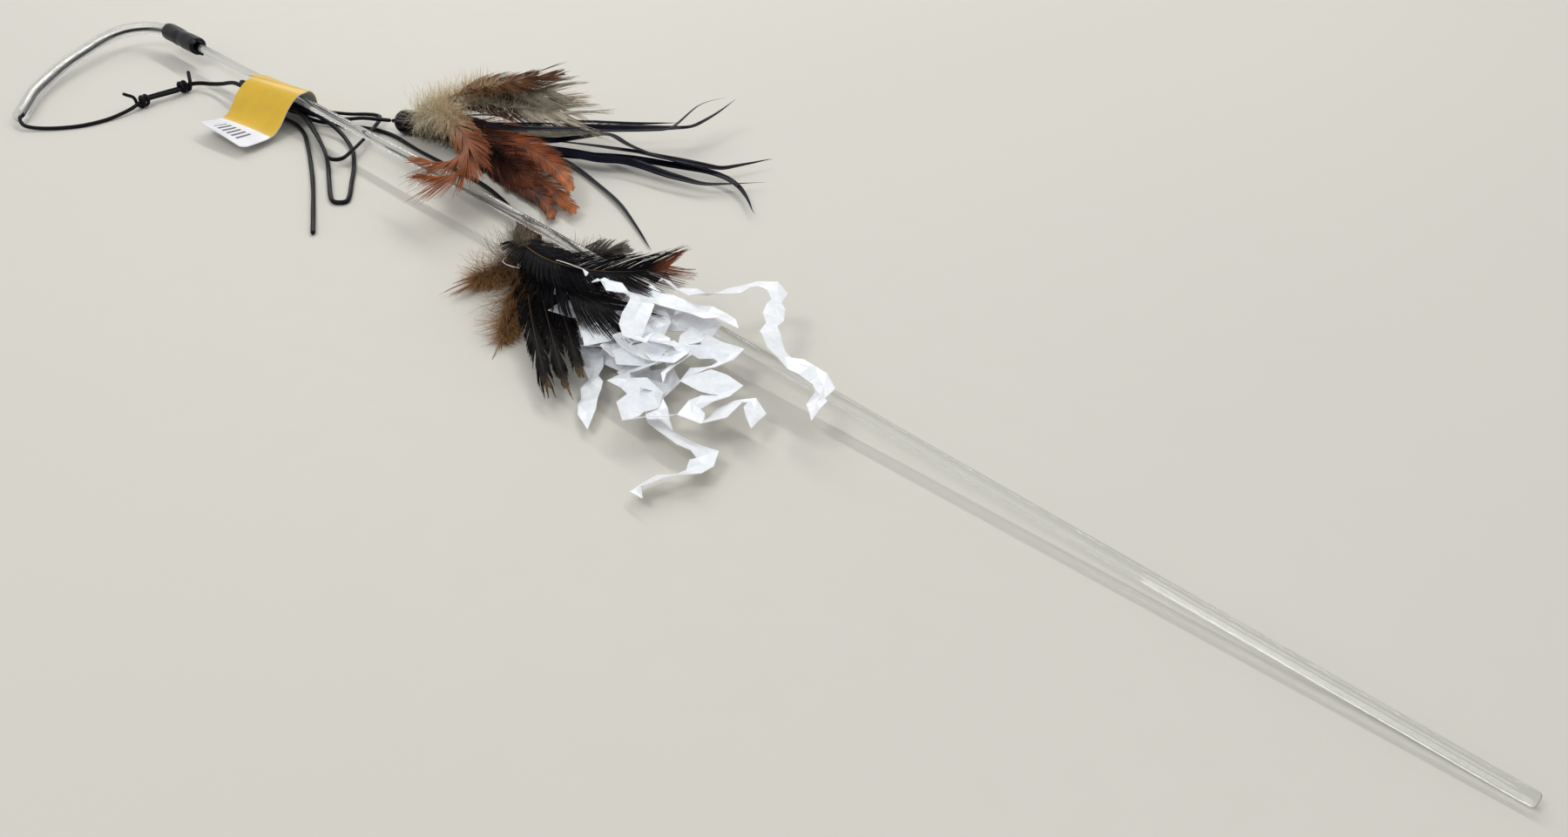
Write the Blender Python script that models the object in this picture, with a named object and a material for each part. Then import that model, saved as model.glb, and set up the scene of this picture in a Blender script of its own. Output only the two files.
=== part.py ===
"""Feather cat teaser wand: clear rod, curled tip tube, elastic, line hank with tag, two feather lures.

Lengths are in metres. The wand lies on a table: +X runs along the rod from the curled tip to the
butt, +Z is up, and the origin is at the middle of the base of the whole object's box. Places are
measured from the rod's end under the sleeve until the whole is moved there.
"""

import math
from typing import NamedTuple

import bmesh
import bpy
import numpy as np
from mathutils import Matrix, Vector

MM = 0.001

# Rod
ROD_DIAMETER = 4.8 * MM
ROD_BARE_LENGTH = 795.0 * MM
ROD_IN_TUBE = 20.0 * MM
ROD_REST_PLACE = 335.0 * MM
ROD_REST_CLEARANCE = 0.592 * MM
ROD_CREST_PLACE = 295.0 * MM
ROD_CREST_CLEARANCE = 1.6 * MM
ROD_CREST_SOFTNESS = 1.011 * MM
ROD_DROOP_SHARE = 0.0085
ROD_EDGE_ROUND = 1.0 * MM
ROD_SIDES_RESOLUTION = 5

# Curled tip tube and the sleeve over its joint
TUBE_OUTER_DIAMETER = 8.0 * MM
TUBE_BORE_CLEARANCE = 0.25 * MM
TUBE_SIDES = 12
TUBE_RING_STEP = 6.4 * MM
SLEEVE_LENGTH = 40.0 * MM
SLEEVE_WALL = 0.8 * MM
SLEEVE_TUBE_INSET = 2.0 * MM
SLEEVE_EAR_LENGTH = 3.0 * MM
SLEEVE_EAR_WIDTH = 3.2 * MM
SLEEVE_STEPS = 24

# Cords
ELASTIC_DIAMETER = 2.0 * MM
LINE_DIAMETER = 2.2 * MM
CORD_STEP_DIAMETERS = 2.2
CORD_RESOLUTION = 1
GAP_STEP = 0.5 * MM
KNOT_TURNS = 2
KNOT_POINTS_A_TURN = 12
KNOT_LAY_CLEARANCE = 0.45 * MM
KNOT_TURN_CLEARANCE = 0.6 * MM
KNOT_TAIL_LENGTH = 8.0 * MM
LEFT_KNOT_TAIL_LENGTH = 5.0 * MM

# Hang tag
TAG_THICKNESS = 0.6 * MM
TAG_CREASE_GAP = 0.5 * MM
TAG_COLUMNS = 5
TAG_ROW_STEP = 3.2 * MM

# Caps of the lures
CAP_1_DIAMETER = 13.0 * MM
CAP_1_LENGTH = 14.0 * MM
CAP_2_DIAMETER = 11.0 * MM
CAP_2_LENGTH = 12.5 * MM
CAP_WALL = 0.9 * MM
CAP_LINE_HOLE = 3.2 * MM
CAP_STEPS = 20
PIVOT_REACH = 2.5 * MM
STOPPER_DIAMETER = 4.6 * MM
PLUG_DEPTH = 3.0 * MM
PLUG_RECESS = 1.6 * MM

# Feathers, streamers and strips
FEATHER_THICKNESS = 0.4 * MM
QUILL_WIDTH = 1.1 * MM
QUILL_THICKNESS = 0.6 * MM
QUILL_STRAIGHT = 2.4 * MM
ROOT_LEVEL_STEP = 0.12 * MM
PILE_OPENING = 42.0 * MM
SETTLE_START = 80.0 * MM
SETTLE_RUN = 130.0 * MM
LURE_1_SETTLE_SHARE = 0.5
LURE_2_SETTLE_SHARE = 0.4
LURE_2_PILE_DELAY = 11.5 * MM
VANE_START = 22.0 * MM
VANE_WIDENING_SHARE = 0.2
VANE_START_SHARE = 0.16
VANE_CAMBER = 0.3 * MM
SHAFT_SHARE = 0.12
EDGE_SHARE = 0.4
FEATHER_STATIONS = 12
STREAMER_STATIONS = 13
LURE_1_REACH = 170.0 * MM
LURE_1_BAND = 1.5 * MM
LURE_1_LOWEST = 0.9 * MM
LURE_2_REACH = 130.0 * MM
LURE_2_BAND = 1.4 * MM
LURE_2_LOWEST = 0.9 * MM
TIP_HEADING_SHARE = 0.25
FEATHER_WIDTH = 17.0 * MM
STREAMER_WIDTH = 3.6 * MM
STRIP_WIDTH = 7.0 * MM
STRIP_THICKNESS = 0.5 * MM
STRIP_REACH = 210.0 * MM
STRIP_STEP = 9.0 * MM

# Gap that touching pieces keep
FIT_GAP = 0.3 * MM

# Places of the lures on the table: the cap's end, as distances from the rod's end under the sleeve,
# along and across the rod
LURE_1_PLACE = (168.0 * MM, 30.0 * MM)
LURE_1_HEADING = 33.0
LURE_2_PLACE = (323.0 * MM, 4.0 * MM)
LURE_2_HEADING = -20.0
STRIP_PILE_HEADING = -5.0

TUBE_ROUTE = [
    (-56.0, -6.0, 11.8), (-63.0, -17.0, 11.0), (-60.0, -31.0, 10.0), (-51.0, -46.0, 8.6),
    (-41.0, -61.0, 7.2), (-29.0, -75.0, 5.8), (-12.0, -91.0, 4.7), (4.0, -101.5, 4.15),
    (19.0, -111.0, 4.1),
]
ELASTIC_ROUTE = [
    (24.0, -113.0, 3.4), (30.0, -113.0, 2.2), (36.0, -108.0, 1.3), (43.0, -99.0, 1.1),
    (47.5, -88.0, 1.1), (47.5, -75.0, 1.2), (45.0, -63.0, 2.3), (42.0, -56.0, 3.4),
]
KNOT_LEFT_PLACE = (40.0, -50.0, 3.8)
KNOT_RIGHT_PLACE = (34.5, -29.0, 3.8)
MAIN_LINE_ROUTE = [
    (32.8, -22.4, 3.8), (35.4, -17.6, 4.0), (42.5, -14.2, 4.6), (52.0, -11.9, 6.6),
    (60.0, -10.8, 9.0), (68.0, -10.7, 10.9), (79.0, -10.4, 11.2), (89.0, -9.5, 10.7),
    (97.0, -7.9, 9.8), (111.0, -5.4, 8.6), (125.0, -3.8, 8.0), (137.0, -5.0, 7.1), (155.0, -9.6, 5.8),
    (171.0, -14.4, 5.1), (182.5, -18.4, 4.8), (188.5, -18.6, 4.7), (190.5, -14.0, 4.6),
    (183.5, -4.0, 4.5), (173.0, 8.5, 4.2), (163.0, 19.5, 4.0), (155.0, 27.5, 4.0),
    (149.5, 30.2, 4.1), (145.0, 26.5, 4.7), (141.5, 17.5, 6.2), (135.0, 9.0, 7.8),
    (126.0, 4.4, 8.3), (111.0, 1.5, 8.2), (97.0, -2.0, 8.6), (84.0, -4.1, 11.0),
    (76.0, -4.1, 11.5), (71.0, -4.5, 10.2), (68.6, -5.4, 6.9), (71.0, -6.4, 3.6),
    (77.0, -6.9, 2.6), (87.0, -6.2, 3.4), (99.0, -4.0, 4.8), (113.0, -1.6, 5.0),
    (126.0, 0.4, 4.8), (139.0, -3.0, 3.8), (156.0, -8.2, 2.4), (178.0, -16.4, 1.35),
    (202.0, -28.4, 1.25), (221.0, -38.0, 1.25), (228.8, -40.2, 1.25), (232.4, -36.4, 1.25),
    (227.5, -31.4, 1.25), (214.0, -22.6, 1.25), (197.0, -11.8, 1.25), (178.0, -1.8, 1.3),
    (160.0, 3.6, 2.2), (145.0, 4.6, 4.8), (133.0, 2.4, 7.4), (121.0, 0.2, 8.1),
    (107.0, -2.8, 8.0), (95.0, -5.9, 7.6), (83.0, -7.3, 10.4), (74.0, -7.5, 11.8),
    (67.0, -6.8, 10.3), (63.8, -5.5, 6.8), (66.6, -4.1, 3.1), (74.0, -3.7, 2.1),
    (85.0, -3.4, 3.0), (98.0, -0.6, 4.6), (113.0, 2.2, 4.9), (126.0, 4.0, 4.9),
    (137.0, 8.4, 5.2), (147.0, 13.4, 6.0), (153.5, 18.6, 7.0),
]
LURE_2_LINE_ROUTE = [
    (254.0, -65.0, 1.25), (230.0, -52.0, 1.25), (206.0, -39.2, 1.25), (180.0, -26.4, 1.25),
    (154.0, -14.6, 1.3), (139.0, -8.6, 1.5), (125.0, -6.0, 2.0), (111.0, -6.6, 2.0),
    (102.0, -7.4, 1.8), (96.0, -5.4, 1.6), (94.5, -1.4, 1.6), (98.0, 2.2, 1.7),
    (107.0, 3.6, 1.9), (125.0, 4.0, 1.9), (135.0, 8.4, 1.5), (145.0, 14.4, 1.3),
    (156.0, 20.4, 1.25), (165.0, 23.6, 1.25), (176.0, 24.8, 1.25), (189.0, 24.2, 1.25),
    (207.0, 23.6, 1.25), (235.0, 24.0, 1.25), (263.0, 23.0, 1.25), (286.0, 18.6, 1.6),
    (301.0, 12.8, 3.4),
]

# The tag's flaps: places along its left and right edges, from the crease outwards
FRONT_LEFT_EDGE = [
    (84.0, -9.0, 19.3), (85.5, -14.5, 18.0), (89.5, -21.0, 13.0), (95.0, -28.0, 6.2),
    (98.0, -35.0, 4.6), (103.5, -48.5, 8.0),
]
FRONT_RIGHT_EDGE = [
    (125.0, 4.0, 17.6), (126.5, -3.0, 16.8), (129.5, -10.5, 12.6), (135.0, -20.0, 5.8),
    (138.5, -28.0, 3.6), (144.0, -45.0, 4.6),
]
BACK_LEFT_EDGE = [
    (84.0, -9.0, 19.3), (83.0, -4.2, 18.0), (82.0, 0.4, 16.3), (80.6, 3.8, 14.0),
    (79.0, 7.0, 9.5), (78.0, 8.4, 4.0),
]
BACK_RIGHT_EDGE = [
    (125.0, 4.0, 17.6), (124.6, 6.2, 16.8), (123.6, 8.4, 13.4), (122.0, 9.6, 8.5),
    (121.0, 10.2, 4.0),
]

# Lure 1 from the table up: name, kind, heading at the root and at the tip in degrees towards the
# near side, then shares of the lure's reach, of the piece's full width, and of the rise at its tip
LURE_1_PIECE_SHARES = [
    ("streamer_low", "streamer", 20.0, 48.0, 1.17, 0.70, 0.0),
    ("feather_grey_far", "feather", -12.0, -26.0, 0.58, 0.95, 0.0),
    ("feather_hackle_near", "feather", 10.0, 72.0, 0.93, 0.80, 0.0),
    ("feather_hackle_long", "feather", 14.0, 76.0, 0.90, 0.85, 0.0),
    ("streamer_near_tip", "streamer", 6.0, 34.0, 1.27, 1.00, 0.0),
    ("streamer_broad", "streamer", 0.0, 21.0, 1.20, 1.10, 0.0),
    ("streamer_centre", "streamer", -5.0, 12.0, 1.16, 1.00, 0.0),
    ("streamer_split", "streamer", 8.0, 10.0, 1.15, 0.90, 0.0),
    ("feather_rust_near", "feather", 16.0, 56.0, 0.82, 0.90, 0.0),
    ("streamer_straight", "streamer", -6.0, -5.0, 0.83, 0.60, 0.0),
    ("streamer_rise_long", "streamer", 0.0, -30.0, 1.00, 1.00, 0.03),
    ("streamer_rise_short", "streamer", 4.0, -31.0, 0.98, 0.90, 0.05),
    ("feather_black_near", "feather", 22.0, 66.0, 0.82, 1.15, 0.0),
    ("feather_grey_barred", "feather", -2.0, 11.0, 0.58, 1.10, 0.0),
    ("feather_tan_low", "feather", -8.0, -6.0, 0.54, 1.05, 0.0),
    ("feather_rust_curl", "feather", 30.0, 108.0, 0.75, 0.80, 0.0),
    ("feather_rust_sweep", "feather", 36.0, 96.0, 0.69, 0.70, 0.0),
    ("feather_tan_round", "feather", -8.0, 7.0, 0.52, 1.10, 0.02),
    ("feather_brown_tall", "feather", -8.0, -9.0, 0.50, 0.90, 0.06),
    ("feather_brown_top", "feather", -2.0, 12.0, 0.46, 0.90, 0.09),
]

# Lure 2 feathers, with the level each holds in the pile of feathers and strips
LURE_2_PIECE_SHARES = [
    ("feather_grey_far", 0, "feather", -45.0, -100.0, 0.36, 1.00, 0.0),
    ("feather_brown_down", 1, "feather", 19.0, 27.0, 0.66, 1.05, 0.0),
    ("feather_short_near", 2, "feather", 29.0, 80.0, 0.32, 0.90, 0.0),
    ("feather_black_long", 6, "feather", 15.0, 6.0, 1.05, 0.75, 0.0),
    ("feather_black_outer", 7, "feather", 11.0, 7.0, 1.08, 0.70, 0.0),
    ("feather_tan_tipped", 8, "feather", 7.0, 8.0, 1.04, 0.70, 0.0),
    ("feather_rust_centre", 13, "feather", 15.0, -22.0, 0.61, 1.00, 0.0),
    ("feather_black_small", 14, "feather", 19.0, -34.0, 0.85, 0.80, 0.0),
    ("feather_black_right", 18, "feather", 32.0, -98.0, 0.95, 0.95, 0.0),
]

# Lure 2 strips: name, level in the pile, and the route beyond the cap as shares of the strips' reach
STRIP_ROUTE_SHARES = [
    ("strip_left", 3, [(0.12, 0.09), (0.30, 0.19), (0.48, 0.23), (0.60, 0.27), (0.71, 0.31), (0.75, 0.345)]),
    ("strip_low", 4, [(0.12, 0.07), (0.30, 0.15), (0.46, 0.17), (0.58, 0.20), (0.66, 0.24)]),
    ("strip_tail", 5, [(0.12, 0.06), (0.34, 0.13), (0.52, 0.15), (0.72, 0.20), (0.78, 0.26),
                       (0.86, 0.24), (0.93, 0.22), (0.96, 0.28), (0.93, 0.34), (0.95, 0.40)]),
    ("strip_centre", 9, [(0.12, 0.07), (0.33, 0.14), (0.50, 0.11), (0.64, 0.15), (0.74, 0.17)]),
    ("strip_right", 10, [(0.13, 0.08), (0.32, 0.12), (0.48, 0.08), (0.62, 0.07), (0.74, 0.10),
                         (0.84, 0.14), (0.90, 0.08)]),
    ("strip_fold", 11, [(0.13, 0.09), (0.30, 0.16), (0.40, 0.10), (0.52, 0.18), (0.62, 0.12)]),
    ("strip_heap", 12, [(0.13, 0.10), (0.30, 0.13), (0.42, 0.18), (0.54, 0.10), (0.64, 0.17)]),
    ("strip_bridge", 15, [(0.13, 0.08), (0.31, 0.11), (0.45, 0.06), (0.55, 0.02), (0.62, -0.07),
                          (0.68, -0.07)]),
    ("strip_crossing", 16, [(0.13, 0.10), (0.31, 0.09), (0.46, 0.06), (0.58, 0.04), (0.62, -0.05),
                            (0.62, -0.14), (0.70, -0.13), (0.78, -0.07), (0.88, 0.015), (0.95, 0.04),
                            (0.98, 0.11)]),
    ("strip_knotted", 17, [(0.12, 0.13), (0.27, 0.165), (0.40, 0.05), (0.50, 0.12), (0.58, 0.05)]),
]

# Colours: red, green, blue, roughness
CLEAR_ACRYLIC = (0.82, 0.85, 0.84, 0.05)
CLEAR_VINYL = (0.78, 0.80, 0.79, 0.12)
BLACK_RUBBER = (0.02, 0.02, 0.03, 0.55)
BLACK_ELASTIC = (0.02, 0.02, 0.02, 0.70)
BLACK_LACE = (0.015, 0.015, 0.02, 0.35)
YELLOW_CARD = (0.80, 0.62, 0.05, 0.45)
BLACK_PLASTIC = (0.01, 0.01, 0.015, 0.12)
AMBER_GLUE = (0.55, 0.40, 0.18, 0.30)
BLACK_FEATHER = (0.02, 0.018, 0.02, 0.45)
BROWN_FEATHER = (0.16, 0.09, 0.05, 0.60)
RUST_FEATHER = (0.38, 0.13, 0.04, 0.60)
TAN_FEATHER = (0.42, 0.30, 0.17, 0.60)
GREY_FEATHER = (0.36, 0.34, 0.31, 0.65)
WHITE_STRIP = (0.90, 0.90, 0.92, 0.50)
FEATHER_FINISH_NAMES = {
    BLACK_FEATHER: "black_feather",
    BROWN_FEATHER: "brown_feather",
    RUST_FEATHER: "rust_feather",
    TAN_FEATHER: "tan_feather",
    GREY_FEATHER: "grey_feather",
}


def clear_scene():
    """Removes every object of the open scene."""
    for thing in list(bpy.data.objects):
        bpy.data.objects.remove(thing, do_unlink=True)


def material(name, finish):
    """A Principled material with the finish's colour and roughness."""
    found = bpy.data.materials.get(name)
    if found:
        return found
    made = bpy.data.materials.new(name)
    made.use_nodes = True
    shader = made.node_tree.nodes["Principled BSDF"]
    shader.inputs["Base Color"].default_value = (*finish[:3], 1.0)
    shader.inputs["Roughness"].default_value = finish[3]
    shader.inputs["Metallic"].default_value = 0.0
    return made


def scaled(points):
    """A route's points in metres."""
    return [Vector(p) * MM for p in points]


def smooth_route(points, step):
    """Points about a step apart on the smooth curve through the route's points."""
    fine = []
    ends = [points[0] * 2 - points[1], *points, points[-1] * 2 - points[-2]]
    for before, start, end, after in zip(ends, ends[1:], ends[2:], ends[3:]):
        parts = 24
        for k in range(parts):
            t = k / parts
            fine.append(
                0.5
                * (
                    start * 2
                    + (end - before) * t
                    + (before * 2 - start * 5 + end * 4 - after) * t**2
                    + (start * 3 - before - end * 3 + after) * t**3
                )
            )
    fine.append(points[-1])
    return evenly(fine, step)


def evenly(points, step):
    """The polyline's points moved to even distances of about a step."""
    lengths = [0.0]
    for a, b in zip(points, points[1:]):
        lengths.append(lengths[-1] + (b - a).length)
    count = max(2, round(lengths[-1] / step))
    found = []
    at = 0
    for k in range(count + 1):
        want = lengths[-1] * k / count
        while at < len(lengths) - 2 and lengths[at + 1] < want:
            at += 1
        span = lengths[at + 1] - lengths[at]
        found.append(points[at].lerp(points[at + 1], (want - lengths[at]) / span))
    return found


def route_length(points):
    """Length along a polyline."""
    return sum((b - a).length for a, b in zip(points, points[1:]))


def gap_between(first, second, diameter):
    """Least gap between two cords' surfaces, from closely spaced points of their centre lines."""
    rows = np.array(evenly(first, GAP_STEP))
    others = np.array(evenly(second, GAP_STEP))
    return min(np.linalg.norm(others - row, axis=1).min() for row in rows) - diameter


def gap_to_itself(points, diameter):
    """Least gap of a cord to itself, leaving out neighbours along the cord."""
    rows = np.array(evenly(points, GAP_STEP))
    apart = math.ceil(3 * diameter / GAP_STEP)
    ends = range(len(rows) - apart)
    return min(np.linalg.norm(rows[k + apart :] - rows[k], axis=1).min() for k in ends) - diameter


def tube_along(name, points, radius, finish, finish_name, resolution=CORD_RESOLUTION, radii=None):
    """A round cord or rod: a curve with a bevel along the points."""
    data = bpy.data.curves.new(name, "CURVE")
    data.dimensions = "3D"
    data.bevel_depth = radius
    data.bevel_resolution = resolution
    data.use_fill_caps = True
    spline = data.splines.new("POLY")
    spline.points.add(len(points) - 1)
    for k, point in enumerate(points):
        spline.points[k].co = (*point, 1.0)
        spline.points[k].radius = radii[k] if radii else 1.0
    made = bpy.data.objects.new(name, data)
    data.materials.append(material(finish_name, finish))
    bpy.context.scene.collection.objects.link(made)
    return made


def rounded_end(points, radius):
    """The points with more near the last one, and shares of the radius that round it off."""
    tail = points[-1]
    back = (points[-2] - tail).normalized()
    kept = [p for p in points if (p - tail).length > radius]
    shares = [1.0] * len(kept)
    for angle in (0.0, 30.0, 55.0, 75.0):
        kept.append(tail + back * radius * (1.0 - math.sin(math.radians(angle))))
        shares.append(math.cos(math.radians(angle)))
    return kept, shares


def mesh_object(name, bm, finish, finish_name, sharp=35.0):
    """An object from a bmesh, shaded smooth up to the sharp angle."""
    bmesh.ops.recalc_face_normals(bm, faces=bm.faces)
    data = bpy.data.meshes.new(name)
    bm.to_mesh(data)
    bm.free()
    data.shade_smooth()
    data.set_sharp_from_angle(angle=math.radians(sharp))
    data.materials.append(material(finish_name, finish))
    made = bpy.data.objects.new(name, data)
    bpy.context.scene.collection.objects.link(made)
    return made


def skin_rings(bm, rings, close_ends=True):
    """Faces between neighbouring rings of points, and over the first and last ring."""
    rows = [[bm.verts.new(p) for p in ring] for ring in rings]
    for first, second in zip(rows, rows[1:]):
        count = len(first)
        for k in range(count):
            bm.faces.new((first[k], first[(k + 1) % count], second[(k + 1) % count], second[k]))
    if close_ends:
        bm.faces.new(rows[0])
        bm.faces.new(rows[-1])
    return rows


def turned(name, profile, steps, finish, finish_name):
    """A round piece: the closed profile of places (along X, out from X) spun about X."""
    bm = bmesh.new()
    points = [bm.verts.new((along, 0.0, out)) for along, out in profile]
    edges = [bm.edges.new((a, b)) for a, b in zip(points, points[1:] + points[:1])]
    bmesh.ops.spin(
        bm,
        geom=points + edges,
        axis=(1.0, 0.0, 0.0),
        cent=(0.0, 0.0, 0.0),
        angle=math.tau,
        steps=steps,
    )
    bmesh.ops.remove_doubles(bm, verts=bm.verts, dist=FIT_GAP / 1000)
    bmesh.ops.dissolve_degenerate(bm, edges=bm.edges, dist=FIT_GAP / 1000)
    return mesh_object(name, bm, finish, finish_name)


def rod_height(x):
    """Height of the rod's axis: it climbs evenly from the butt to the second lure's cap, which it
    lies on, and sags beyond it."""
    rise_share = (CAP_2_DIAMETER + ROD_REST_CLEARANCE) / (ROD_BARE_LENGTH - ROD_REST_PLACE)
    near = rise_share * (ROD_BARE_LENGTH - x)
    far = CAP_2_DIAMETER + ROD_CREST_CLEARANCE - ROD_DROOP_SHARE * (ROD_CREST_PLACE - x)
    crest = ROD_CREST_SOFTNESS * math.log(1.0 + math.exp((near - far) / ROD_CREST_SOFTNESS))
    return ROD_DIAMETER / 2 + near - crest


def rod_point(x):
    """A point of the rod's axis."""
    return Vector((x, 0.0, rod_height(x)))


def build_rod():
    """The clear rod, rounded at the butt, with a small flat end face."""
    radius = ROD_DIAMETER / 2
    count = 26
    first = ROD_BARE_LENGTH - ROD_EDGE_ROUND
    points = [rod_point(first - (first + ROD_IN_TUBE) * k / count) for k in range(count + 1)]
    flat = 1.0 - ROD_EDGE_ROUND / radius
    head = []
    head_radii = []
    for angle in (0.0, 30.0, 60.0):
        turn = math.radians(angle)
        head.append(points[0] + Vector((ROD_EDGE_ROUND * math.cos(turn), 0.0, 0.0)))
        head_radii.append(flat + (1.0 - flat) * math.sin(turn))
    radii = head_radii + [1.0] * len(points)
    return tube_along(
        "rod", head + points, radius, CLEAR_ACRYLIC, "clear_acrylic", ROD_SIDES_RESOLUTION, radii
    )


def tube_centreline():
    """Points along the tip tube, from inside the sleeve to its open end."""
    start = rod_point(-SLEEVE_TUBE_INSET)
    middle = rod_point(-ROD_IN_TUBE)
    end = rod_point(-SLEEVE_LENGTH)
    beyond = rod_point(-SLEEVE_LENGTH - TUBE_OUTER_DIAMETER / 2)
    points = [start, middle, end, beyond, *scaled(TUBE_ROUTE)]
    return smooth_route(points, TUBE_RING_STEP)


def frames_along(points):
    """A side and an up direction at each point, which turn as little as they can."""
    up = Vector((0.0, 0.0, 1.0))
    found = []
    for k in range(len(points)):
        ahead = (points[min(k + 1, len(points) - 1)] - points[max(k - 1, 0)]).normalized()
        up = (up - ahead * up.dot(ahead)).normalized()
        found.append((ahead.cross(up).normalized(), up.copy(), ahead))
    return found


def build_tube(centre):
    """The clear flexible tube, open at its tip, with the rod in its other end."""
    outer = TUBE_OUTER_DIAMETER / 2
    inner = ROD_DIAMETER / 2 + TUBE_BORE_CLEARANCE
    bm = bmesh.new()
    skins = []
    for radius in (outer, inner):
        rings = []
        for point, (side, up, _) in zip(centre, frames_along(centre)):
            turns = [math.tau * k / TUBE_SIDES for k in range(TUBE_SIDES)]
            rings.append([point + (side * math.cos(t) + up * math.sin(t)) * radius for t in turns])
        skins.append(skin_rings(bm, rings, close_ends=False))
    for row in (0, -1):
        first, second = skins[0][row], skins[1][row]
        for k in range(TUBE_SIDES):
            after = (k + 1) % TUBE_SIDES
            bm.faces.new((first[k], first[after], second[after], second[k]))
    return mesh_object("flexible_tip_tube", bm, CLEAR_VINYL, "clear_vinyl")


def build_sleeve():
    """The black sleeve over the joint: a round shell whose rod end has two small ears."""
    inner = TUBE_OUTER_DIAMETER / 2 + FIT_GAP
    outer = inner + SLEEVE_WALL
    mouth = ROD_DIAMETER / 2 + FIT_GAP * 2
    throat = SLEEVE_TUBE_INSET - FIT_GAP * 2
    profile = [
        (0.0, mouth),
        (0.0, outer - SLEEVE_WALL),
        (SLEEVE_WALL, outer),
        (SLEEVE_LENGTH - SLEEVE_WALL * 3, outer),
        (SLEEVE_LENGTH - SLEEVE_WALL, outer - SLEEVE_WALL * 0.3),
        (SLEEVE_LENGTH, inner + SLEEVE_WALL * 0.3),
        (SLEEVE_LENGTH, inner),
        (throat, inner),
        (throat, mouth),
    ]
    made = turned("joint_sleeve", profile, SLEEVE_STEPS, BLACK_RUBBER, "black_rubber")
    ears = [(40.0, 1.0), (-70.0, 0.8)]
    for k, (turn, length_share) in enumerate(ears):
        ear = ear_shape(f"ear_cutter_{k}", mouth, outer, SLEEVE_EAR_LENGTH * length_share)
        ear.data.transform(Matrix.Rotation(math.radians(turn), 4, "X"))
        join = made.modifiers.new(f"ear {k}", "BOOLEAN")
        join.operation = "UNION"
        join.object = ear
    start = rod_point(0.0)
    ahead = (rod_point(-SLEEVE_LENGTH) - start).normalized()
    made.matrix_world = placed_along(start, ahead)
    for mod in made.modifiers:
        mod.object.matrix_world = made.matrix_world
    return made


def ear_shape(name, low, high, length):
    """A pointed flap of the sleeve's end, a helper joined to the sleeve."""
    bm = bmesh.new()
    half = SLEEVE_EAR_WIDTH / 2
    root = SLEEVE_WALL
    wall = [low + (high - low) * 0.35, high - (high - low) * 0.2]
    tip = -length
    rings = []
    for out in wall:
        rings.append([Vector((root, -half, out)), Vector((root, half, out)), Vector((tip, 0.0, out))])
    skin_rings(bm, rings)
    ear = mesh_object(name, bm, BLACK_RUBBER, "black_rubber")
    ear.hide_render = True
    ear.display_type = "WIRE"
    return ear


def placed_along(start, ahead):
    """The matrix that puts a piece made along +X at a start point, heading ahead."""
    side = Vector((0.0, 0.0, 1.0)).cross(ahead).normalized()
    up = ahead.cross(side).normalized()
    turn = Matrix((ahead, side, up)).transposed().to_4x4()
    return Matrix.Translation(start) @ turn


def build_inner_elastic(centre):
    """The elastic inside the tube, from the rod's end to the tube's mouth, on the inside of the bend."""
    drift = (ROD_DIAMETER / 2 + TUBE_BORE_CLEARANCE - ELASTIC_DIAMETER / 2) * 0.45
    rod_end = -ROD_IN_TUBE - FIT_GAP
    frames = frames_along(centre)
    points = [rod_point(rod_end)]
    for point, (side, up, _) in zip(centre, frames):
        if point.x < rod_end - ELASTIC_DIAMETER or point.y < -TUBE_OUTER_DIAMETER:
            points.append(point - side * drift - up * drift * 0.5)
    points = evenly(points, ELASTIC_DIAMETER * CORD_STEP_DIAMETERS)
    return tube_along("elastic_in_tube", points, ELASTIC_DIAMETER / 2, BLACK_ELASTIC, "black_elastic")


def knot_layout():
    """Centres of the two knots, the direction between them and the side that the strands keep."""
    left = Vector(KNOT_LEFT_PLACE) * MM
    right = Vector(KNOT_RIGHT_PLACE) * MM
    along = (right - left).normalized()
    side = along.cross(Vector((0.0, 0.0, 1.0))).normalized()
    return left, right, along, side


def knot_lay(passing, wrapped):
    """Radius of a cord's turns about the cord that it is tied round."""
    return passing / 2 + wrapped / 2 + KNOT_LAY_CLEARANCE


def knot_points(centre, along, side, lay, diameter, tail, lean):
    """A cord's turns about another cord, then its free tail, which leans to one side."""
    up = side.cross(along).normalized()
    pitch = diameter + KNOT_TURN_CLEARANCE
    points = []
    count = KNOT_TURNS * KNOT_POINTS_A_TURN
    for k in range(count + 1):
        turn = math.tau * k / KNOT_POINTS_A_TURN
        reach = along * pitch * (k / KNOT_POINTS_A_TURN)
        points.append(centre + side * lay * math.cos(turn) + up * lay * math.sin(turn) + reach)
    last = points[-1]
    steps = [(0.0, 0.55, 0.1), (0.12, 1.0, 0.25), (0.4, 1.35, 0.5)]
    for out, high, on in steps:
        points.append(last + (side * out * lean + up * high + along * on) * diameter)
    leave = (side * 0.75 * lean + up * 0.35 + along * 0.55).normalized()
    points.append(points[-1] + leave * tail * 0.5)
    points.append(points[-1] + leave * tail * 0.5)
    return points


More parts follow.
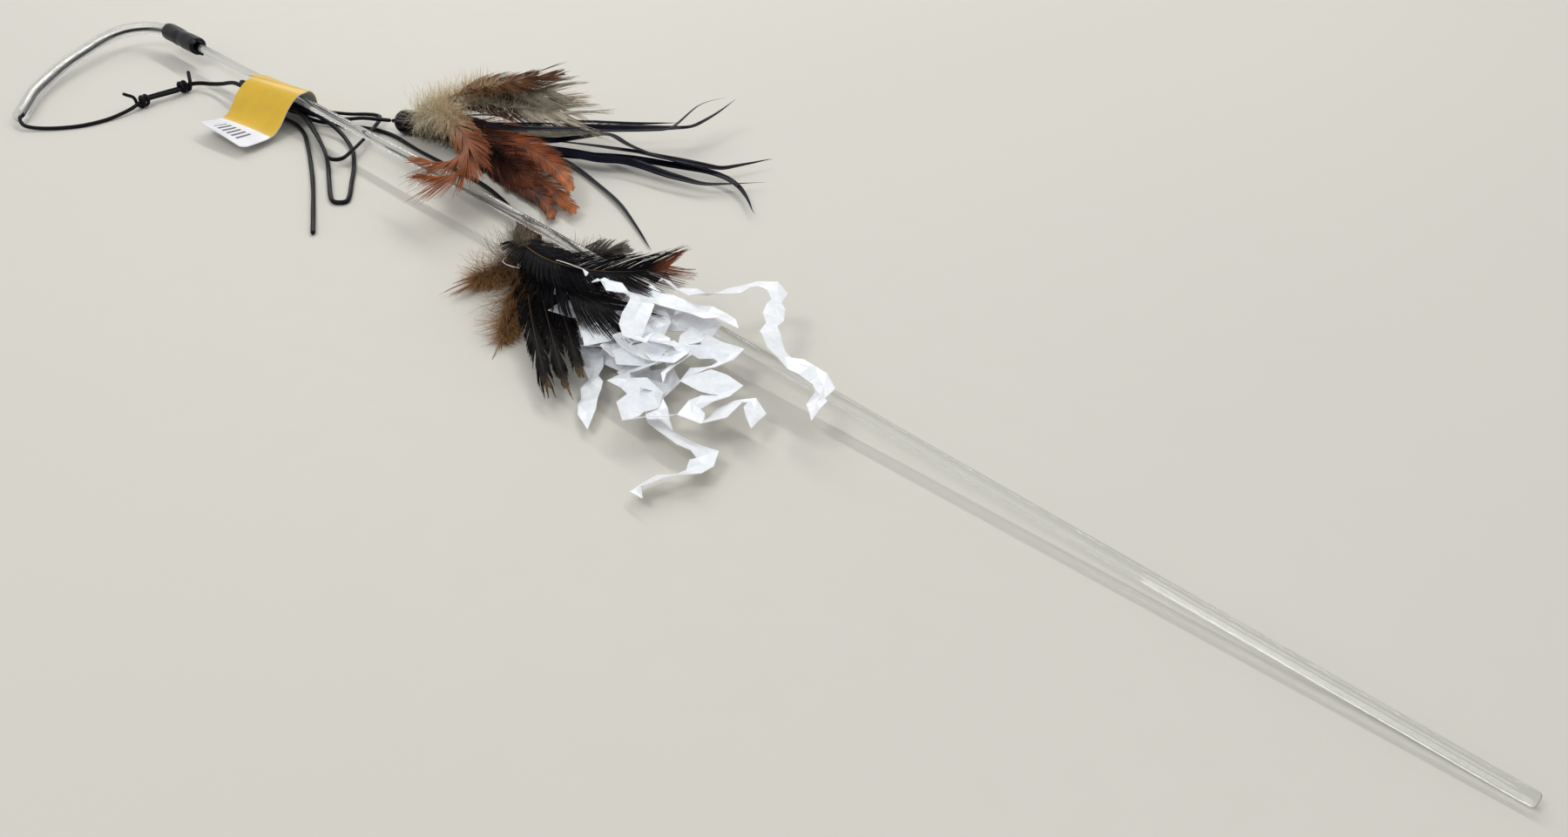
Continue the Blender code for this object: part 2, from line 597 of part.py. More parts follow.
def build_cords(centre):
    """The elastic, its knots with the line, the main line and the second lure's line."""
    left, right, along, side = knot_layout()
    line_lay = knot_lay(ELASTIC_DIAMETER, LINE_DIAMETER)
    elastic_lay = knot_lay(LINE_DIAMETER, ELASTIC_DIAMETER)
    mouth = centre[-1]
    out = (centre[-1] - centre[-2]).normalized()
    elastic_far = right + side * elastic_lay
    elastic_ends = [
        left - along * ELASTIC_DIAMETER,
        left + along * ELASTIC_DIAMETER * 1.5,
        elastic_far - along * ELASTIC_DIAMETER * 2.5,
        elastic_far - along * (ELASTIC_DIAMETER / 2 + FIT_GAP),
    ]
    elastic = [mouth + out * FIT_GAP, *scaled(ELASTIC_ROUTE), *elastic_ends]
    step = ELASTIC_DIAMETER * CORD_STEP_DIAMETERS
    elastic = smooth_route(elastic, step)
    tube_along("elastic_cord", elastic, ELASTIC_DIAMETER / 2, BLACK_ELASTIC, "black_elastic")
    tube_along(
        "knot_elastic_on_line",
        knot_points(right, along, side, elastic_lay, ELASTIC_DIAMETER, KNOT_TAIL_LENGTH, -1.0),
        ELASTIC_DIAMETER / 2,
        BLACK_ELASTIC,
        "black_elastic",
    )
    tube_along(
        "knot_line_on_elastic",
        knot_points(left, -along, -side, line_lay, LINE_DIAMETER, LEFT_KNOT_TAIL_LENGTH, 1.0),
        LINE_DIAMETER / 2,
        BLACK_LACE,
        "black_lace",
    )
    pivot_1, ahead_1 = pivot_of(LURE_1_PLACE, LURE_1_HEADING, CAP_1_DIAMETER)
    pivot_2, ahead_2 = pivot_of(LURE_2_PLACE, LURE_2_HEADING, CAP_2_DIAMETER)
    end_gap = FIT_GAP
    line_near = left - side * line_lay
    line_start = line_near + along * (LINE_DIAMETER / 2 + FIT_GAP)
    line_passes = [line_near + along * LINE_DIAMETER * 2, right - along * LINE_DIAMETER, right]
    line_step = LINE_DIAMETER * CORD_STEP_DIAMETERS
    arrival = [pivot_1 - ahead_1 * LINE_DIAMETER * 3, pivot_1 - ahead_1 * end_gap]
    line = smooth_route([line_start, *line_passes, *scaled(MAIN_LINE_ROUTE), *arrival], line_step)
    arrival = [pivot_2 - ahead_2 * LINE_DIAMETER * 3, pivot_2 - ahead_2 * end_gap]
    second = smooth_route([*scaled(LURE_2_LINE_ROUTE), *arrival], line_step)
    print("elastic length", round(route_length(elastic), 4))
    print("main line length", round(route_length(line), 4))
    print("second line length", round(route_length(second), 4))
    print("main line gap to itself", round(gap_to_itself(line, LINE_DIAMETER) * 1000, 2), "mm")
    print("second line gap to itself", round(gap_to_itself(second, LINE_DIAMETER) * 1000, 2), "mm")
    print("gap between the lines", round(gap_between(line, second, LINE_DIAMETER) * 1000, 2), "mm")
    for name, points in (("main_line", line), ("second_line", second)):
        rounded, shares = rounded_end(points, LINE_DIAMETER / 2)
        tube_along(name, rounded, LINE_DIAMETER / 2, BLACK_LACE, "black_lace", CORD_RESOLUTION, shares)


def pivot_of(place, heading, diameter):
    """The point that a lure swings about, just outside its cap, and the lure's heading."""
    turn = math.radians(heading)
    ahead = Vector((math.cos(turn), math.sin(turn), 0.0))
    apex = Vector((place[0], place[1], diameter / 2))
    return apex - ahead * PIVOT_REACH, ahead


def build_tag():
    """The folded hang tag: its front flap opens about the crease, its back flap stays on the rod."""
    crease = Vector(FRONT_LEFT_EDGE[0]) * MM
    ahead = (Vector(FRONT_RIGHT_EDGE[0]) * MM - crease).normalized()
    hinge = joint_empty("hang_tag_hinge", placed_along(crease, ahead))
    bpy.context.view_layer.update()
    for name, left, right in (
        ("hang_tag_front", FRONT_LEFT_EDGE, FRONT_RIGHT_EDGE),
        ("hang_tag_back", BACK_LEFT_EDGE, BACK_RIGHT_EDGE),
    ):
        left_line = smooth_route(scaled(left), TAG_ROW_STEP)
        right_line = smooth_route(scaled(right), TAG_ROW_STEP)
        rows = max(len(left_line), len(right_line))
        left_line = evenly(left_line, route_length(left_line) / rows)
        right_line = evenly(right_line, route_length(right_line) / rows)
        first_left = left_line[0] + (left_line[1] - left_line[0]).normalized() * TAG_CREASE_GAP
        first_right = right_line[0] + (right_line[1] - right_line[0]).normalized() * TAG_CREASE_GAP
        left_line[0] = first_left
        right_line[0] = first_right
        bm = bmesh.new()
        grid = []
        for a, b in zip(left_line, right_line):
            grid.append([bm.verts.new(a.lerp(b, k / TAG_COLUMNS)) for k in range(TAG_COLUMNS + 1)])
        for low, high in zip(grid, grid[1:]):
            for k in range(TAG_COLUMNS):
                bm.faces.new((low[k], low[k + 1], high[k + 1], high[k]))
        made = mesh_object(name, bm, YELLOW_CARD, "yellow_card")
        wall = made.modifiers.new("card", "SOLIDIFY")
        wall.thickness = TAG_THICKNESS
        wall.offset = 0.0
        if name == "hang_tag_front":
            hang_on(made, hinge, hinge.matrix_world.inverted())


def cap_shapes(number, diameter, length):
    """Profiles of a lure's cap, of the glue that holds its quills and of its knot, along +X from the end."""
    outer = diameter / 2
    inner = outer - CAP_WALL
    hole = CAP_LINE_HOLE / 2
    turns = [math.radians(15.0 * k) for k in range(7)]
    start = math.asin(hole / outer)
    outside = [(outer * (1 - math.cos(t)), outer * math.sin(t)) for t in turns if t > start]
    inside = [(outer - inner * math.cos(t), inner * math.sin(t)) for t in turns if t > start * 1.3]
    mouth = [(length, outer - CAP_WALL * 0.4), (length, inner + CAP_WALL * 0.2)]
    first = [(outer * (1 - math.cos(start)), hole)]
    last = [(outer - math.sqrt(inner**2 - hole**2), hole)]
    cap = first + outside + [(length - CAP_WALL * 0.4, outer)] + mouth
    cap += [(length - CAP_WALL * 0.4, inner)] + inside[::-1] + last
    plug_out = inner - FIT_GAP
    plug_end = length - PLUG_RECESS
    plug_start = plug_end - PLUG_DEPTH
    plug = [(plug_start, 0.0), (plug_start, plug_out), (plug_end, plug_out), (plug_end, 0.0)]
    knot_radius = min(STOPPER_DIAMETER / 2, (plug_start - CAP_WALL) / 2 - FIT_GAP)
    centre = plug_start - FIT_GAP - knot_radius
    cord = LINE_DIAMETER / 2
    tip = -PIVOT_REACH + FIT_GAP
    meet = math.asin(min(1.0, cord / knot_radius))
    knot = [(tip, 0.0), (tip + cord * 0.13, cord * 0.5), (tip + cord * 0.5, cord * 0.87), (tip + cord, cord)]
    swell = [meet + (math.pi - meet) * k / 6 for k in range(7)]
    knot += [(centre - knot_radius * math.cos(t), knot_radius * math.sin(t)) for t in swell[:-1]]
    knot.append((centre + knot_radius, 0.0))
    return {
        f"lure_{number}_cap": (cap, BLACK_PLASTIC, "black_plastic"),
        f"lure_{number}_quill_glue": (plug, AMBER_GLUE, "amber_glue"),
        f"lure_{number}_stopper_knot": (knot, BLACK_LACE, "black_lace"),
    }, plug_end


def root_places(count, inner):
    """Where the roots sit in the cap: rows of three, from the lowest up."""
    rows = math.ceil(count / 3)
    found = []
    for k in range(count):
        row_share = (k // 3) / max(1, rows - 1) * 2.0 - 1.0
        height = inner * 0.72 * row_share
        column = inner * 0.44 * math.sqrt(1.0 - 0.52 * row_share**2)
        found.append(((k % 3 - 1) * column, height + (k % 3 - 1) * ROOT_LEVEL_STEP))
    return found


def eased(t):
    """A smooth rise from 0 to 1."""
    t = min(1.0, max(0.0, t))
    return t * t * (3.0 - 2.0 * t)


def vane_width(t, kind, bare):
    """Width of a piece along its length, as a share of its full width, past its bare share."""
    if kind == "streamer":
        return max(0.12, min(1.0, t / 0.3) * (1.0 - t**4) ** 0.5)
    if t < bare:
        return 0.0
    u = (t - bare) / (1.0 - bare)
    body = math.sin(math.pi * (u * 0.55 + 0.09)) ** 0.8 * (1.0 - u**5)
    return max(0.05, body * eased(u / VANE_WIDENING_SHARE))


def ribbon(name, line, widths, thicknesses, camber, finish, finish_name):
    """A thin blade along a line: flat on the whole, with a raised middle and fine edges."""
    bm = bmesh.new()
    rings = []
    up = Vector((0.0, 0.0, 1.0))
    for k, point in enumerate(line):
        ahead = (line[min(k + 1, len(line) - 1)] - line[max(k - 1, 0)]).normalized()
        side = up.cross(ahead).normalized()
        if 0 < k < len(line) - 1:
            first = (line[k] - line[k - 1]).normalized()
            second = (line[k + 1] - line[k]).normalized()
            flat_turn = math.acos(max(-1.0, min(1.0, first.dot(second))))
            side = side / max(0.55, math.cos(flat_turn / 2))
        lift = ahead.cross(side).normalized()
        if lift.z < 0:
            lift = -lift
        half = side * widths[k] / 2
        thick = lift * thicknesses[k] / 2
        arch = lift * camber * min(1.0, widths[k] / FEATHER_WIDTH)
        shaft = half * SHAFT_SHARE
        near = [point - half - arch - thick * EDGE_SHARE, point - half - arch + thick * EDGE_SHARE]
        far = [point + half - arch + thick * EDGE_SHARE, point + half - arch - thick * EDGE_SHARE]
        over = [point - shaft + thick, point + shaft + thick] if camber else [point + thick]
        under = [point + shaft - thick, point - shaft - thick] if camber else [point - thick]
        rings.append(near + over + far + under)
    skin_rings(bm, rings)
    return mesh_object(name, bm, finish, finish_name)


def joint_empty(name, matrix):
    """An empty on a joint's axis, which the moving pieces hang from."""
    made = bpy.data.objects.new(name, None)
    made.matrix_world = matrix
    bpy.context.scene.collection.objects.link(made)
    return made


def hang_on(piece, empty, local):
    """Parents a piece to a joint's empty at a place in the empty's frame."""
    piece.parent = empty
    piece.matrix_local = local


def lure_hinge(name, place, heading, diameter):
    """A lure's empty, on its joint at the end of its line, with +X along the lure."""
    pivot, _ = pivot_of(place, heading, diameter)
    turn = Matrix.Rotation(math.radians(heading), 4, "Z")
    return joint_empty(name, Matrix.Translation(pivot) @ turn)


class Pile(NamedTuple):
    """How a lure's feathers and strips are stacked: sizes of its levels, and where they start and settle."""

    lowest: float
    band: float
    delay: float
    settle_share: float
    cap_diameter: float
    start: float

    def height(self, point, root_height, level):
        """Height of a piece of this level at a point: it opens from its root and sinks again beyond."""
        reach = math.hypot(point.x - self.start, point.y)
        opening = (reach - QUILL_STRAIGHT - self.delay) / PILE_OPENING
        opened = math.sin(math.pi / 2 * min(1.0, max(0.0, opening)))
        sunk = self.settle_share * eased((reach - SETTLE_START) / SETTLE_RUN)
        height = self.lowest + self.band * level * (1.0 - sunk) - self.cap_diameter / 2
        return root_height + (height - root_height) * opened


def feather_line(pile, root, level, headings, length, rise, stations):
    """Points of a feather: it leaves the glue straight, then turns to its heading and climbs to its
    level once it is clear of the cap and of what lies over the cap."""
    points = [Vector((pile.start, *root)), Vector((pile.start + QUILL_STRAIGHT, *root))]
    rest = length - QUILL_STRAIGHT - pile.delay
    steps = ([pile.delay] if pile.delay else []) + [rest / (stations - 3)] * (stations - 3)
    run = 0.0
    for step in steps:
        run += step
        t = run / sum(steps)
        heading = -math.radians(headings[0] + (headings[1] - headings[0]) * t**1.4)
        point = points[-1] + Vector((step * math.cos(heading), step * math.sin(heading), 0.0))
        point.z = pile.height(point, root[1], level) + rise * t**3
        points.append(point)
    return points


def build_lure_1():
    """The first lure: cap, glue, knot, feathers and streamers, all in the lure's own frame."""
    pieces, plug_end = cap_shapes(1, CAP_1_DIAMETER, CAP_1_LENGTH)
    hinge = lure_hinge("lure_1_hinge", LURE_1_PLACE, LURE_1_HEADING, CAP_1_DIAMETER)
    beyond = Matrix.Translation((PIVOT_REACH, 0.0, 0.0))
    for name, (profile, finish, finish_name) in pieces.items():
        hang_on(turned(name, profile, CAP_STEPS, finish, finish_name), hinge, beyond)
    inner = CAP_1_DIAMETER / 2 - CAP_WALL
    headings = [row[2] + row[3] * TIP_HEADING_SHARE for row in LURE_1_PIECE_SHARES]
    roots = fanned_roots(root_places(len(headings), inner), headings)
    pile = Pile(
        LURE_1_LOWEST, LURE_1_BAND, 0.0, LURE_1_SETTLE_SHARE, CAP_1_DIAMETER, plug_end + FIT_GAP
    )
    for level, row in enumerate(LURE_1_PIECE_SHARES):
        name, kind, turn_a, turn_b, length_share, width_share, rise_share = row
        stations = STREAMER_STATIONS if kind == "streamer" else FEATHER_STATIONS
        full = STREAMER_WIDTH if kind == "streamer" else FEATHER_WIDTH
        length = LURE_1_REACH * length_share
        rise = LURE_1_REACH * rise_share
        line = feather_line(pile, roots[level], level, (turn_a, turn_b), length, rise, stations)
        finish, finish_name = feather_finish(name)
        made = blade("lure_1_" + name, line, kind, full * width_share, finish, finish_name)
        hang_on(made, hinge, beyond)


def feather_finish(name):
    """The finish that a feather's name calls for: streamers are black, what names no colour is brown."""
    for word, finish in (
        ("streamer", BLACK_FEATHER),
        ("black", BLACK_FEATHER),
        ("rust", RUST_FEATHER),
        ("tan", TAN_FEATHER),
        ("grey", GREY_FEATHER),
    ):
        if word in name:
            return finish, FEATHER_FINISH_NAMES[finish]
    return BROWN_FEATHER, FEATHER_FINISH_NAMES[BROWN_FEATHER]


def fanned_roots(roots, headings):
    """Gives the columns of each row of roots out by heading, so that no two quills cross."""
    given = []
    for low in range(0, len(headings), 3):
        members = range(low, min(low + 3, len(headings)))
        columns = sorted(roots[k][0] for k in members) if len(members) > 1 else [0.0]
        order = sorted(members, key=lambda k: headings[k], reverse=True)
        column_of = dict(zip(order, columns))
        given += [(column_of[k], roots[k][1]) for k in members]
    return given


def blade(name, line, kind, full_width, finish, finish_name):
    """A feather or streamer: a bare quill that widens into its vane."""
    widths = []
    thicknesses = []
    bare = max(VANE_START_SHARE, VANE_START / route_length(line))
    for k in range(len(line)):
        t = k / (len(line) - 1)
        share = vane_width(t, kind, bare)
        widths.append(max(QUILL_WIDTH * (1.0 - t * 0.7), full_width * share))
        thicknesses.append(QUILL_THICKNESS + (FEATHER_THICKNESS - QUILL_THICKNESS) * t)
    camber = 0.0 if kind == "streamer" else VANE_CAMBER
    return ribbon(name, line, widths, thicknesses, camber, finish, finish_name)


def build_lure_2():
    """The second lure: cap, glue, knot, feathers and crinkled white strips."""
    pieces, plug_end = cap_shapes(2, CAP_2_DIAMETER, CAP_2_LENGTH)
    hinge = lure_hinge("lure_2_hinge", LURE_2_PLACE, LURE_2_HEADING, CAP_2_DIAMETER)
    beyond = Matrix.Translation((PIVOT_REACH, 0.0, 0.0))
    for name, (profile, finish, finish_name) in pieces.items():
        hang_on(turned(name, profile, CAP_STEPS, finish, finish_name), hinge, beyond)
    inner = CAP_2_DIAMETER / 2 - CAP_WALL
    rows = [(level, name, "feather", a, b, length, width, rise)
            for name, level, _, a, b, length, width, rise in LURE_2_PIECE_SHARES]
    for name, level, route in STRIP_ROUTE_SHARES:
        turn = math.degrees(math.atan2(route[0][1], route[0][0])) + LURE_2_HEADING - STRIP_PILE_HEADING
        rows.append((level, name, "strip", turn, turn, route, 1.0, 0.0))
    rows.sort(key=lambda row: row[0])
    headings = [row[3] + row[4] * TIP_HEADING_SHARE for row in rows]
    roots = fanned_roots(root_places(len(rows), inner), headings)
    pile = Pile(
        LURE_2_LOWEST,
        LURE_2_BAND,
        LURE_2_PILE_DELAY,
        LURE_2_SETTLE_SHARE,
        CAP_2_DIAMETER,
        plug_end + FIT_GAP,
    )
    for level, row in enumerate(rows):
        _, name, kind, turn_a, turn_b, shape, width_share, rise_share = row
        if kind == "feather":
            length = LURE_2_REACH * shape
            rise = LURE_2_REACH * rise_share
            line = feather_line(
                pile, roots[level], level, (turn_a, turn_b), length, rise, FEATHER_STATIONS
            )
            finish, finish_name = feather_finish(name)
            made = blade("lure_2_" + name, line, kind, FEATHER_WIDTH * width_share, finish, finish_name)
        else:
            made = strip("lure_2_" + name, pile, roots[level], level, shape)
        hang_on(made, hinge, beyond)


def strip(name, pile, root, level, route):
    """A crinkled strip: narrow in the cap, full width in the pile, with a pointed end."""
    beyond = Vector((pile.start + QUILL_STRAIGHT, *root))
    turn = Matrix.Rotation(math.radians(STRIP_PILE_HEADING - LURE_2_HEADING), 4, "Z")
    flat = [turn @ Vector((x * STRIP_REACH, -y * STRIP_REACH, 0.0)) for x, y in route]
    flat = [p + Vector((pile.start, 0.0, root[1])) for p in flat]
    fine = smooth_route([beyond, *flat], GAP_STEP)
    under_rod = round(pile.delay / GAP_STEP)
    line = [Vector((pile.start, *root)), beyond, *evenly(fine[under_rod:], STRIP_STEP)]
    widths = [QUILL_WIDTH]
    for k in range(1, len(line)):
        t = k / (len(line) - 1)
        line[k].z = pile.height(line[k], root[1], level)
        wide = eased((route_length(line[1 : k + 1]) - VANE_START) / (STRIP_WIDTH * 4.0))
        point_end = min(1.0, (1.0 - t) * 7.0)
        ripple = 0.86 + 0.14 * math.cos(k * 2.1)
        widths.append(max(QUILL_WIDTH, STRIP_WIDTH * wide * point_end * ripple))
    thicknesses = [STRIP_THICKNESS] * len(line)
    return ribbon(name, line, widths, thicknesses, 0.0, WHITE_STRIP, "white_strip")


CORD_NODES = {"elastic_cord", "knot_elastic_on_line", "knot_line_on_elastic", "main_line", "second_line"}


def world_corners(thing, graph):
    """The object's points as the viewport evaluates them, in the world."""
    evaluated = thing.evaluated_get(graph)
    mesh = evaluated.to_mesh()
    points = [evaluated.matrix_world @ v.co for v in mesh.vertices]
    evaluated.to_mesh_clear()
    return points


def centre_on_base():
    """Moves every piece so that the origin is at the middle of the base of the object's box."""
    bpy.context.view_layer.update()
    graph = bpy.context.evaluated_depsgraph_get()
    points = []
    for thing in bpy.context.scene.objects:
        if thing.type != "EMPTY" and not thing.hide_render and thing.name not in CORD_NODES:
            points += world_corners(thing, graph)
    low = Vector([min(p[k] for p in points) for k in range(3)])
    high = Vector([max(p[k] for p in points) for k in range(3)])
    shift = Vector((-(low.x + high.x) / 2, -(low.y + high.y) / 2, -low.z))
    for thing in bpy.context.scene.objects:
        if thing.parent is None:
            thing.matrix_world = Matrix.Translation(shift) @ thing.matrix_world
    for label, place, heading, diameter in (
        ("lure 1 pivot", LURE_1_PLACE, LURE_1_HEADING, CAP_1_DIAMETER),
        ("lure 2 pivot", LURE_2_PLACE, LURE_2_HEADING, CAP_2_DIAMETER),
    ):
        pivot, _ = pivot_of(place, heading, diameter)
        print(label, [round(v, 5) for v in pivot + shift])
    print("crease", [round(v, 5) for v in Vector(FRONT_LEFT_EDGE[0]) * MM + shift],
          [round(v, 5) for v in Vector(FRONT_RIGHT_EDGE[0]) * MM + shift])
    print("butt face", [round(v, 5) for v in rod_point(ROD_BARE_LENGTH) + shift])
    print("shift", [round(v, 6) for v in shift])


def main():
    """Builds the whole wand."""
    clear_scene()
    build_rod()
    centre = tube_centreline()
    build_tube(centre)
    build_sleeve()
    build_inner_elastic(centre)
    build_cords(centre)
    build_tag()
    build_lure_1()
    build_lure_2()
    centre_on_base()


main()
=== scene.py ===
"""Looks of a feather cat teaser wand: clear rod, curled tip tube, elastic, coiled line with tag, two lures.

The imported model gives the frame: +X runs from the curled tip to the butt, +Z is up, metres.
"""

import logging
import math
from collections.abc import Callable, Sequence
from dataclasses import dataclass
from enum import Enum

import bpy
import numpy as np
from mathutils import Matrix, Vector


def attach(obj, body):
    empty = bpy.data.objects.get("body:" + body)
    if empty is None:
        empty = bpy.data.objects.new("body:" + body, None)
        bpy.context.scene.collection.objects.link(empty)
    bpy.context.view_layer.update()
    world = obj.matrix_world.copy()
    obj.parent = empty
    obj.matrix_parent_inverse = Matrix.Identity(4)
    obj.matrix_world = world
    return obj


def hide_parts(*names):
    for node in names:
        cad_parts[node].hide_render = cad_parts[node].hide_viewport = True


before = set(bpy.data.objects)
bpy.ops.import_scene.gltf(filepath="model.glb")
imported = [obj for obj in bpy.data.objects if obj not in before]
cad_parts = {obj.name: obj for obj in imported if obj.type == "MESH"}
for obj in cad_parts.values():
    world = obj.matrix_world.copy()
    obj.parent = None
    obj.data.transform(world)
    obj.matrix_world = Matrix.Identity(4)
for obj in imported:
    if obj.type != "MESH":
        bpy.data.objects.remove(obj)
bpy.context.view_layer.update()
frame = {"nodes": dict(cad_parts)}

LOG = logging.getLogger("teaser_wand")
MM = 0.001
SHIFT = np.array((-363.946, -23.512, 0.0)) * MM
REST_HEIGHT = 0.12 * MM
Rgb = tuple[float, float, float]
Row3 = tuple[float, float, float]
Array = np.ndarray
Piece = bpy.types.Object
Socket = bpy.types.NodeSocket
Material = bpy.types.Material
Pair = tuple[float, float]
Route = tuple[Row3, ...]


class Body(Enum):
    """The rigid bodies that pieces ride on."""

    WAND = "wand"
    TAG_FLAP = "tag_flap"
    LURE_1 = "lure_1"
    LURE_2 = "lure_2"


class Vane(Enum):
    """Outlines that a feather's vane can have."""

    ROUND = "round"
    POINTED = "pointed"
    HACKLE = "hackle"
    DOWN = "down"


# ---- paths and meshes


def laid_out(points: Sequence[Row3]) -> Array:
    """A route's points, measured in millimetres from the rod's end under the sleeve, in the model's frame."""
    return np.array(points) * MM + SHIFT


def evenly(points: Array, step: float) -> Array:
    """Moves a polyline's points to even distances.

    Args:
        points: the polyline, one row a point.
        step: the wanted distance, which is rounded to fit the length.

    Returns:
        The new points, with both ends kept.
    """
    spans = np.linalg.norm(np.diff(points, axis=0), axis=1)
    along = np.concatenate([[0.0], np.cumsum(spans)])
    count = max(2, round(along[-1] / step))
    wanted = np.linspace(0.0, along[-1], count + 1)
    return np.stack([np.interp(wanted, along, points[:, k]) for k in range(3)], axis=1)


def smooth_route(points: Array, step: float) -> Array:
    """Draws a smooth curve through a route's points.

    Args:
        points: the points that the curve passes, one row each.
        step: the distance between the points that come back.

    Returns:
        Points about a step apart on the curve.
    """
    ends = np.concatenate([[points[0] * 2 - points[1]], points, [points[-1] * 2 - points[-2]]])
    t = np.linspace(0.0, 1.0, 24, endpoint=False)[:, None]
    parts = []
    for before, start, end, after in zip(ends, ends[1:], ends[2:], ends[3:]):
        parts.append(
            0.5
            * (
                start * 2
                + (end - before) * t
                + (before * 2 - start * 5 + end * 4 - after) * t**2
                + (start * 3 - before - end * 3 + after) * t**3
            )
        )
    return evenly(np.concatenate([*parts, points[-1:]]), step)


def path_length(points: Array) -> float:
    """Length along a polyline."""
    return float(np.linalg.norm(np.diff(points, axis=0), axis=1).sum())


def unit(rows: Array) -> Array:
    """Each row scaled to length one."""
    return rows / np.maximum(np.linalg.norm(rows, axis=-1, keepdims=True), 1e-12)


def path_frames(points: Array) -> tuple[Array, Array, Array]:
    """Directions at each point of a path, whose upper side starts out facing up and turns as little as it can.

    Args:
        points: the path, one row a point.

    Returns:
        Directions ahead, to the left side, and up, one row a point each.
    """
    ahead = unit(np.gradient(points, axis=0))
    ups = []
    current = np.array((0.0, 0.0, 1.0))
    for row in ahead:
        current = current - row * current.dot(row)
        current = current / max(np.linalg.norm(current), 1e-9)
        ups.append(current)
    ups = np.array(ups)
    return ahead, np.cross(ups, ahead), ups


def mesh_piece(name: str, points: Array, faces: Array, smooth: bool = True) -> Piece:
    """Makes an object from points and triangles.

    Args:
        name: the object's name.
        points: one row a point, in the model's frame.
        faces: one row of point numbers a triangle.
        smooth: whether its faces shade smoothly.

    Returns:
        The linked object, at the origin.
    """
    data = bpy.data.meshes.new(name)
    data.vertices.add(len(points))
    data.vertices.foreach_set("co", points.astype(np.float32).ravel())
    data.loops.add(faces.size)
    data.loops.foreach_set("vertex_index", faces.astype(np.int32).ravel())
    data.polygons.add(len(faces))
    data.polygons.foreach_set("loop_start", np.arange(0, faces.size, faces.shape[1], dtype=np.int32))
    data.polygons.foreach_set("use_smooth", np.full(len(faces), smooth))
    data.update(calc_edges=True)
    data.validate()
    made = bpy.data.objects.new(name, data)
    bpy.context.scene.collection.objects.link(made)
    return made


def tinted(piece: Piece, colours: Array) -> None:
    """Stores colours in a piece's tint attribute.

    Args:
        piece: the piece.
        colours: one row a point of its mesh.
    """
    layer = piece.data.attributes.new("tint", "FLOAT_COLOR", "POINT")
    rows = np.concatenate([colours, np.ones((len(colours), 1))], axis=1)
    layer.data.foreach_set("color", rows.astype(np.float32).ravel())


def ring_faces(rings: int, sides: int, closed: bool = True) -> Array:
    """Triangles between rings of points, and over both ends.

    Args:
        rings: how many rings follow one another.
        sides: how many points a ring has.
        closed: whether the first and last ring are filled.

    Returns:
        One row of point numbers a triangle, facing out for rings that turn left about the path.
    """
    low = np.arange(rings - 1)[:, None] * sides + np.arange(sides)[None, :]
    after = np.arange(rings - 1)[:, None] * sides + (np.arange(sides)[None, :] + 1) % sides
    quads = [
        np.stack([low, after, after + sides], axis=-1),
        np.stack([low, after + sides, low + sides], axis=-1),
    ]
    faces = [np.stack(quads).reshape(-1, 3)]
    if closed:
        fan = np.arange(1, sides - 1)
        last = (rings - 1) * sides
        faces.append(np.stack([np.zeros_like(fan), fan + 1, fan], axis=-1))
        faces.append(np.stack([np.full_like(fan, last), last + fan, last + fan + 1], axis=-1))
    return np.concatenate(faces)


def swept(name: str, path: Array, sections: Array) -> Piece:
    """Sweeps a closed section along a path, with a UV map that follows it.

    Args:
        name: the object's name.
        path: the path's points, one row each.
        sections: for each path point, the section's points as (side, up) distances.

    Returns:
        The closed tube.
    """
    _, side, ups = path_frames(path)
    rings = path[:, None, :] + sections[:, :, 0:1] * side[:, None, :] + sections[:, :, 1:2] * ups[:, None, :]
    count = sections.shape[1]
    faces = ring_faces(len(path), count)
    made = mesh_piece(name, rings.reshape(-1, 3), faces)
    along = np.concatenate([[0.0], np.cumsum(np.linalg.norm(np.diff(path, axis=0), axis=1))])
    corner = faces.ravel()
    turn = ((corner % count) / count).reshape(-1, 3)
    wraps = (turn.max(axis=1) - turn.min(axis=1)) > 0.5
    turn[wraps] = np.where(turn[wraps] < 0.25, turn[wraps] + 1.0, turn[wraps])
    uv = made.data.uv_layers.new(name="UVMap")
    uv.data.foreach_set("uv", np.stack([turn.ravel(), along[corner // count]], axis=1).astype(np.float32).ravel())
    return made


def round_section(radius: float, sides: int) -> Array:
    """A round section's points as (side, up) distances."""
    turn = np.arange(sides) * math.tau / sides
    return np.stack([np.cos(turn), np.sin(turn)], axis=1) * radius


def only(thing: Piece) -> None:
    """Selects one object and makes it the active one.

    Args:
        thing: the object.
    """
    bpy.ops.object.select_all(action="DESELECT")
    thing.select_set(True)
    bpy.context.view_layer.objects.active = thing


def settled(thing: Piece, name: str) -> Piece:
    """Names a modelled piece and puts its place in its mesh.

    Args:
        thing: the modelled piece.
        name: the piece's name.

    Returns:
        The piece, at the origin.
    """
    only(thing)
    bpy.ops.object.transform_apply(location=True, rotation=True, scale=True)
    thing.name = name
    thing.data.name = name
    return thing


def pick_edges(thing: Piece, wanted: Callable[[Vector, Vector], bool]) -> None:
    """Opens a piece in edit mode with only some of its edges selected.

    Args:
        thing: the piece.
        wanted: tells from an edge's two ends whether it's selected.
    """
    only(thing)
    bpy.ops.object.mode_set(mode="EDIT")
    bpy.ops.mesh.select_mode(type="EDGE")
    bpy.ops.mesh.select_all(action="DESELECT")
    bpy.ops.object.mode_set(mode="OBJECT")
    points = thing.data.vertices
    for edge in thing.data.edges:
        edge.select = bool(wanted(*(points[k].co for k in edge.vertices)))
    bpy.ops.object.mode_set(mode="EDIT")


def apply_modifiers(thing: Piece) -> None:
    """Applies every modifier of a piece, in order.

    Args:
        thing: the piece.
    """
    only(thing)
    for modifier in list(thing.modifiers):
        bpy.ops.object.modifier_apply(modifier=modifier.name)


